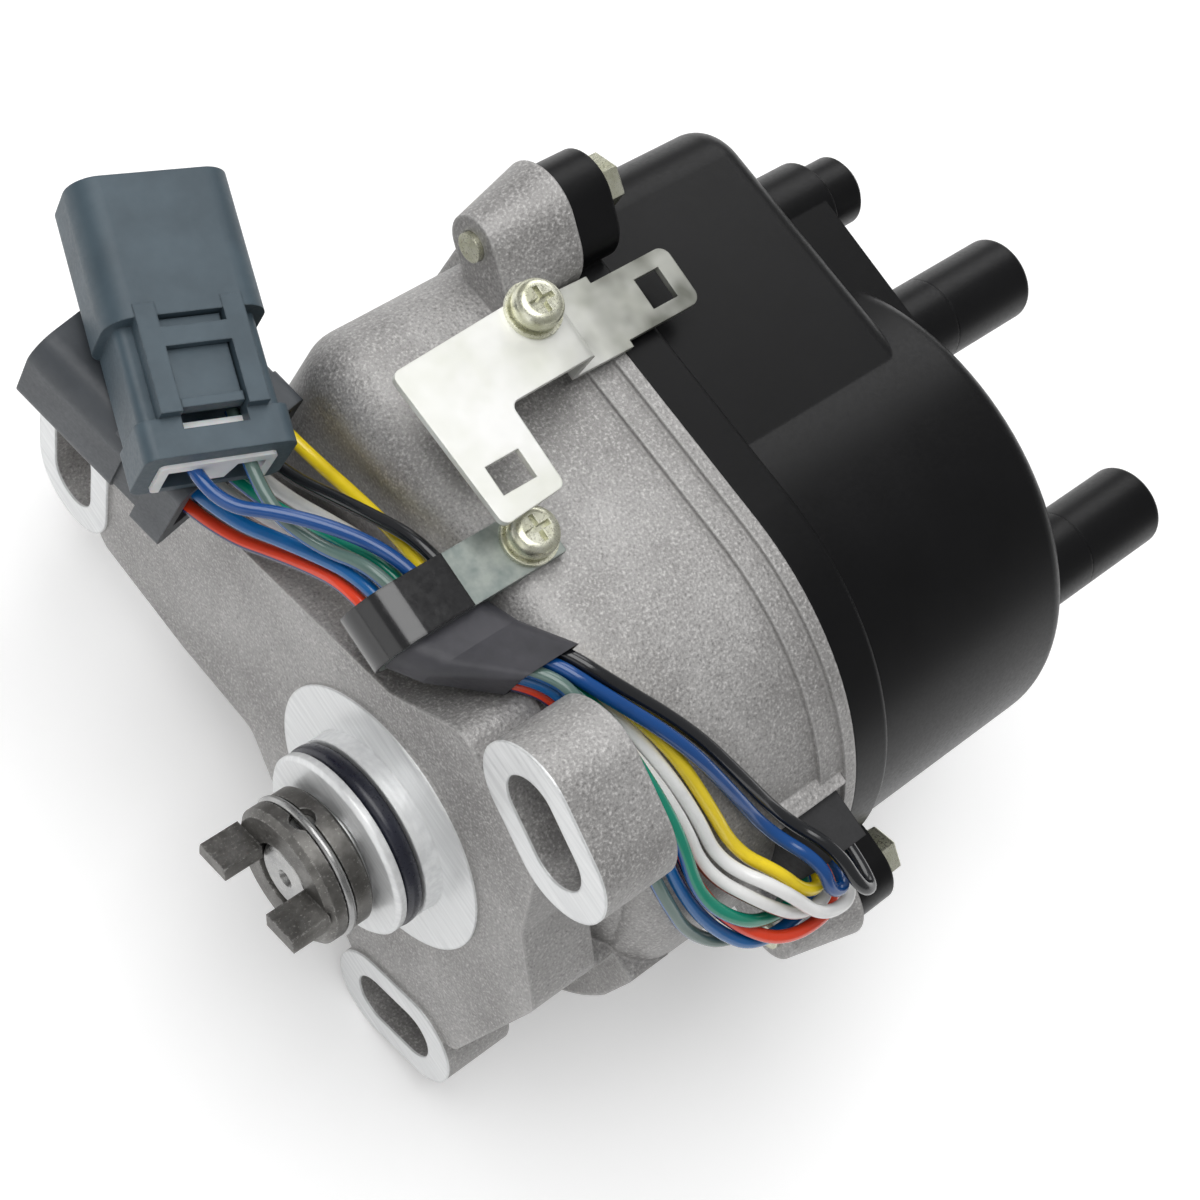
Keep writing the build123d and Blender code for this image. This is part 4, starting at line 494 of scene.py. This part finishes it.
# the paper: the camera and shiny surfaces see it glow, brighter further off, but its glow lights nothing
paper = {"gap": 0.0004, "size": 4.0, "tone": (0.92, 0.92, 0.92), "rough": 0.9, "glow": (1.0, 1.0, 1.0),
         "unlit": (0.0, 0.0, 0.0), "glowFrom": 0.22, "glowTo": 0.75, "nearGlow": 0.24, "farGlow": 0.75}


def studioPaper():
    material, tree, shader = startMaterial("studio paper")
    surface = shader.outputs[0].links[0].to_socket
    feed(tree, shader, {"Base Color": paper["tone"], "Roughness": paper["rough"]})
    away = feed(tree, add(tree, "VectorMath", operation="LENGTH"), {0: partCoords(tree)}).outputs["Value"]
    brighter = spread(tree, away, paper["glowFrom"], paper["glowTo"], paper["nearGlow"], paper["farGlow"])
    glow = feed(tree, add(tree, "Emission"), {"Color": paper["glow"], "Strength": brighter})
    unlit = feed(tree, add(tree, "Emission"), {"Color": paper["unlit"]})
    rays = add(tree, "LightPath").outputs
    mirrored = maths(tree, "MAXIMUM", rays["Is Glossy Ray"], rays["Is Transmission Ray"])
    seen = maths(tree, "MAXIMUM", rays["Is Camera Ray"], mirrored)
    shown = feed(tree, add(tree, "MixShader"), {"Fac": seen, 1: unlit.outputs[0], 2: glow.outputs[0]})
    both = feed(tree, add(tree, "AddShader"), {0: shader.outputs[0], 1: shown.outputs[0]})
    tree.links.new(both.outputs[0], surface)
    return material


floorZ = cadBox[0][2] - paper["gap"]
half = paper["size"] / 2
corners = [(-half, -half, floorZ), (half, -half, floorZ), (half, half, floorZ), (-half, half, floorZ)]
floorMesh = bpy.data.meshes.new("paper_sheet")
floorMesh.from_pydata(corners, [], [(0, 1, 2, 3)])
floor = bpy.data.objects.new("paper_sheet", floorMesh)
bpy.context.scene.collection.objects.link(floor)
dress(floor, studioPaper())

# the air: white to the camera, and only a soft fill to the part
air = {"colour": (1.0, 1.0, 1.0), "seen": 1.0, "fill": 0.32}

world = bpy.data.worlds.new("studio air")
bpy.context.scene.world = world
world.use_nodes = True
worldTree = world.node_tree
worldTree.nodes.clear()
rays = add(worldTree, "LightPath").outputs
seenAir = maths(worldTree, "MAXIMUM", rays["Is Camera Ray"], rays["Is Transmission Ray"])
airStrength = spread(worldTree, seenAir, 0.0, 1.0, air["fill"], air["seen"])
background = feed(worldTree, add(worldTree, "Background"), {"Color": air["colour"], "Strength": airStrength})
feed(worldTree, add(worldTree, "OutputWorld"), {"Surface": background.outputs[0]})

# the lamps all face a place on the shaft's axis, 30 mm behind the mounting face
lamps = {"key": {"place": (-0.05, 0.22, 0.95), "size": 0.8, "power": 7.2},
         "side": {"place": (-0.85, -0.15, 0.35), "size": 0.7, "power": 1.3},
         "rim": {"place": (0.65, 0.55, 0.55), "size": 0.5, "power": 2.0}}
lampTarget = Vector((0.03, 0.0, 0.0))

for lampName, lampLook in lamps.items():
    light = bpy.data.lights.new(lampName, "AREA")
    light.size = lampLook["size"]
    light.energy = lampLook["power"]
    lamp = bpy.data.objects.new(lampName, light)
    lamp.location = lampLook["place"]
    lamp.rotation_mode = "QUATERNION"
    lamp.rotation_quaternion = (lampTarget - Vector(lampLook["place"])).to_track_quat("-Z", "Y")
    bpy.context.scene.collection.objects.link(lamp)

# the camera stands where the photograph was taken from; its directions are those of the picture
eye = {"place": (-0.13619, -0.01630, 0.33632), "right": (0.73785, -0.56099, 0.37533),
       "down": (-0.46017, -0.82490, -0.32831), "ahead": (0.49379, 0.06953, -0.86680),
       "lens": 69.0, "sensor": 36.0, "near": 0.01}

camera = bpy.data.objects.new("photo_camera", bpy.data.cameras.new("photo_camera"))
camera.data.lens = eye["lens"]
camera.data.sensor_width = eye["sensor"]
camera.data.clip_start = eye["near"]
cameraAxes = (Vector(eye["right"]), -Vector(eye["down"]), -Vector(eye["ahead"]))
camera.matrix_world = Matrix.Translation(Vector(eye["place"])) @ Matrix(cameraAxes).transposed().to_4x4()
bpy.context.scene.collection.objects.link(camera)
bpy.context.scene.camera = camera
bpy.context.scene.view_settings.view_transform = "Standard"
print("studio ready")
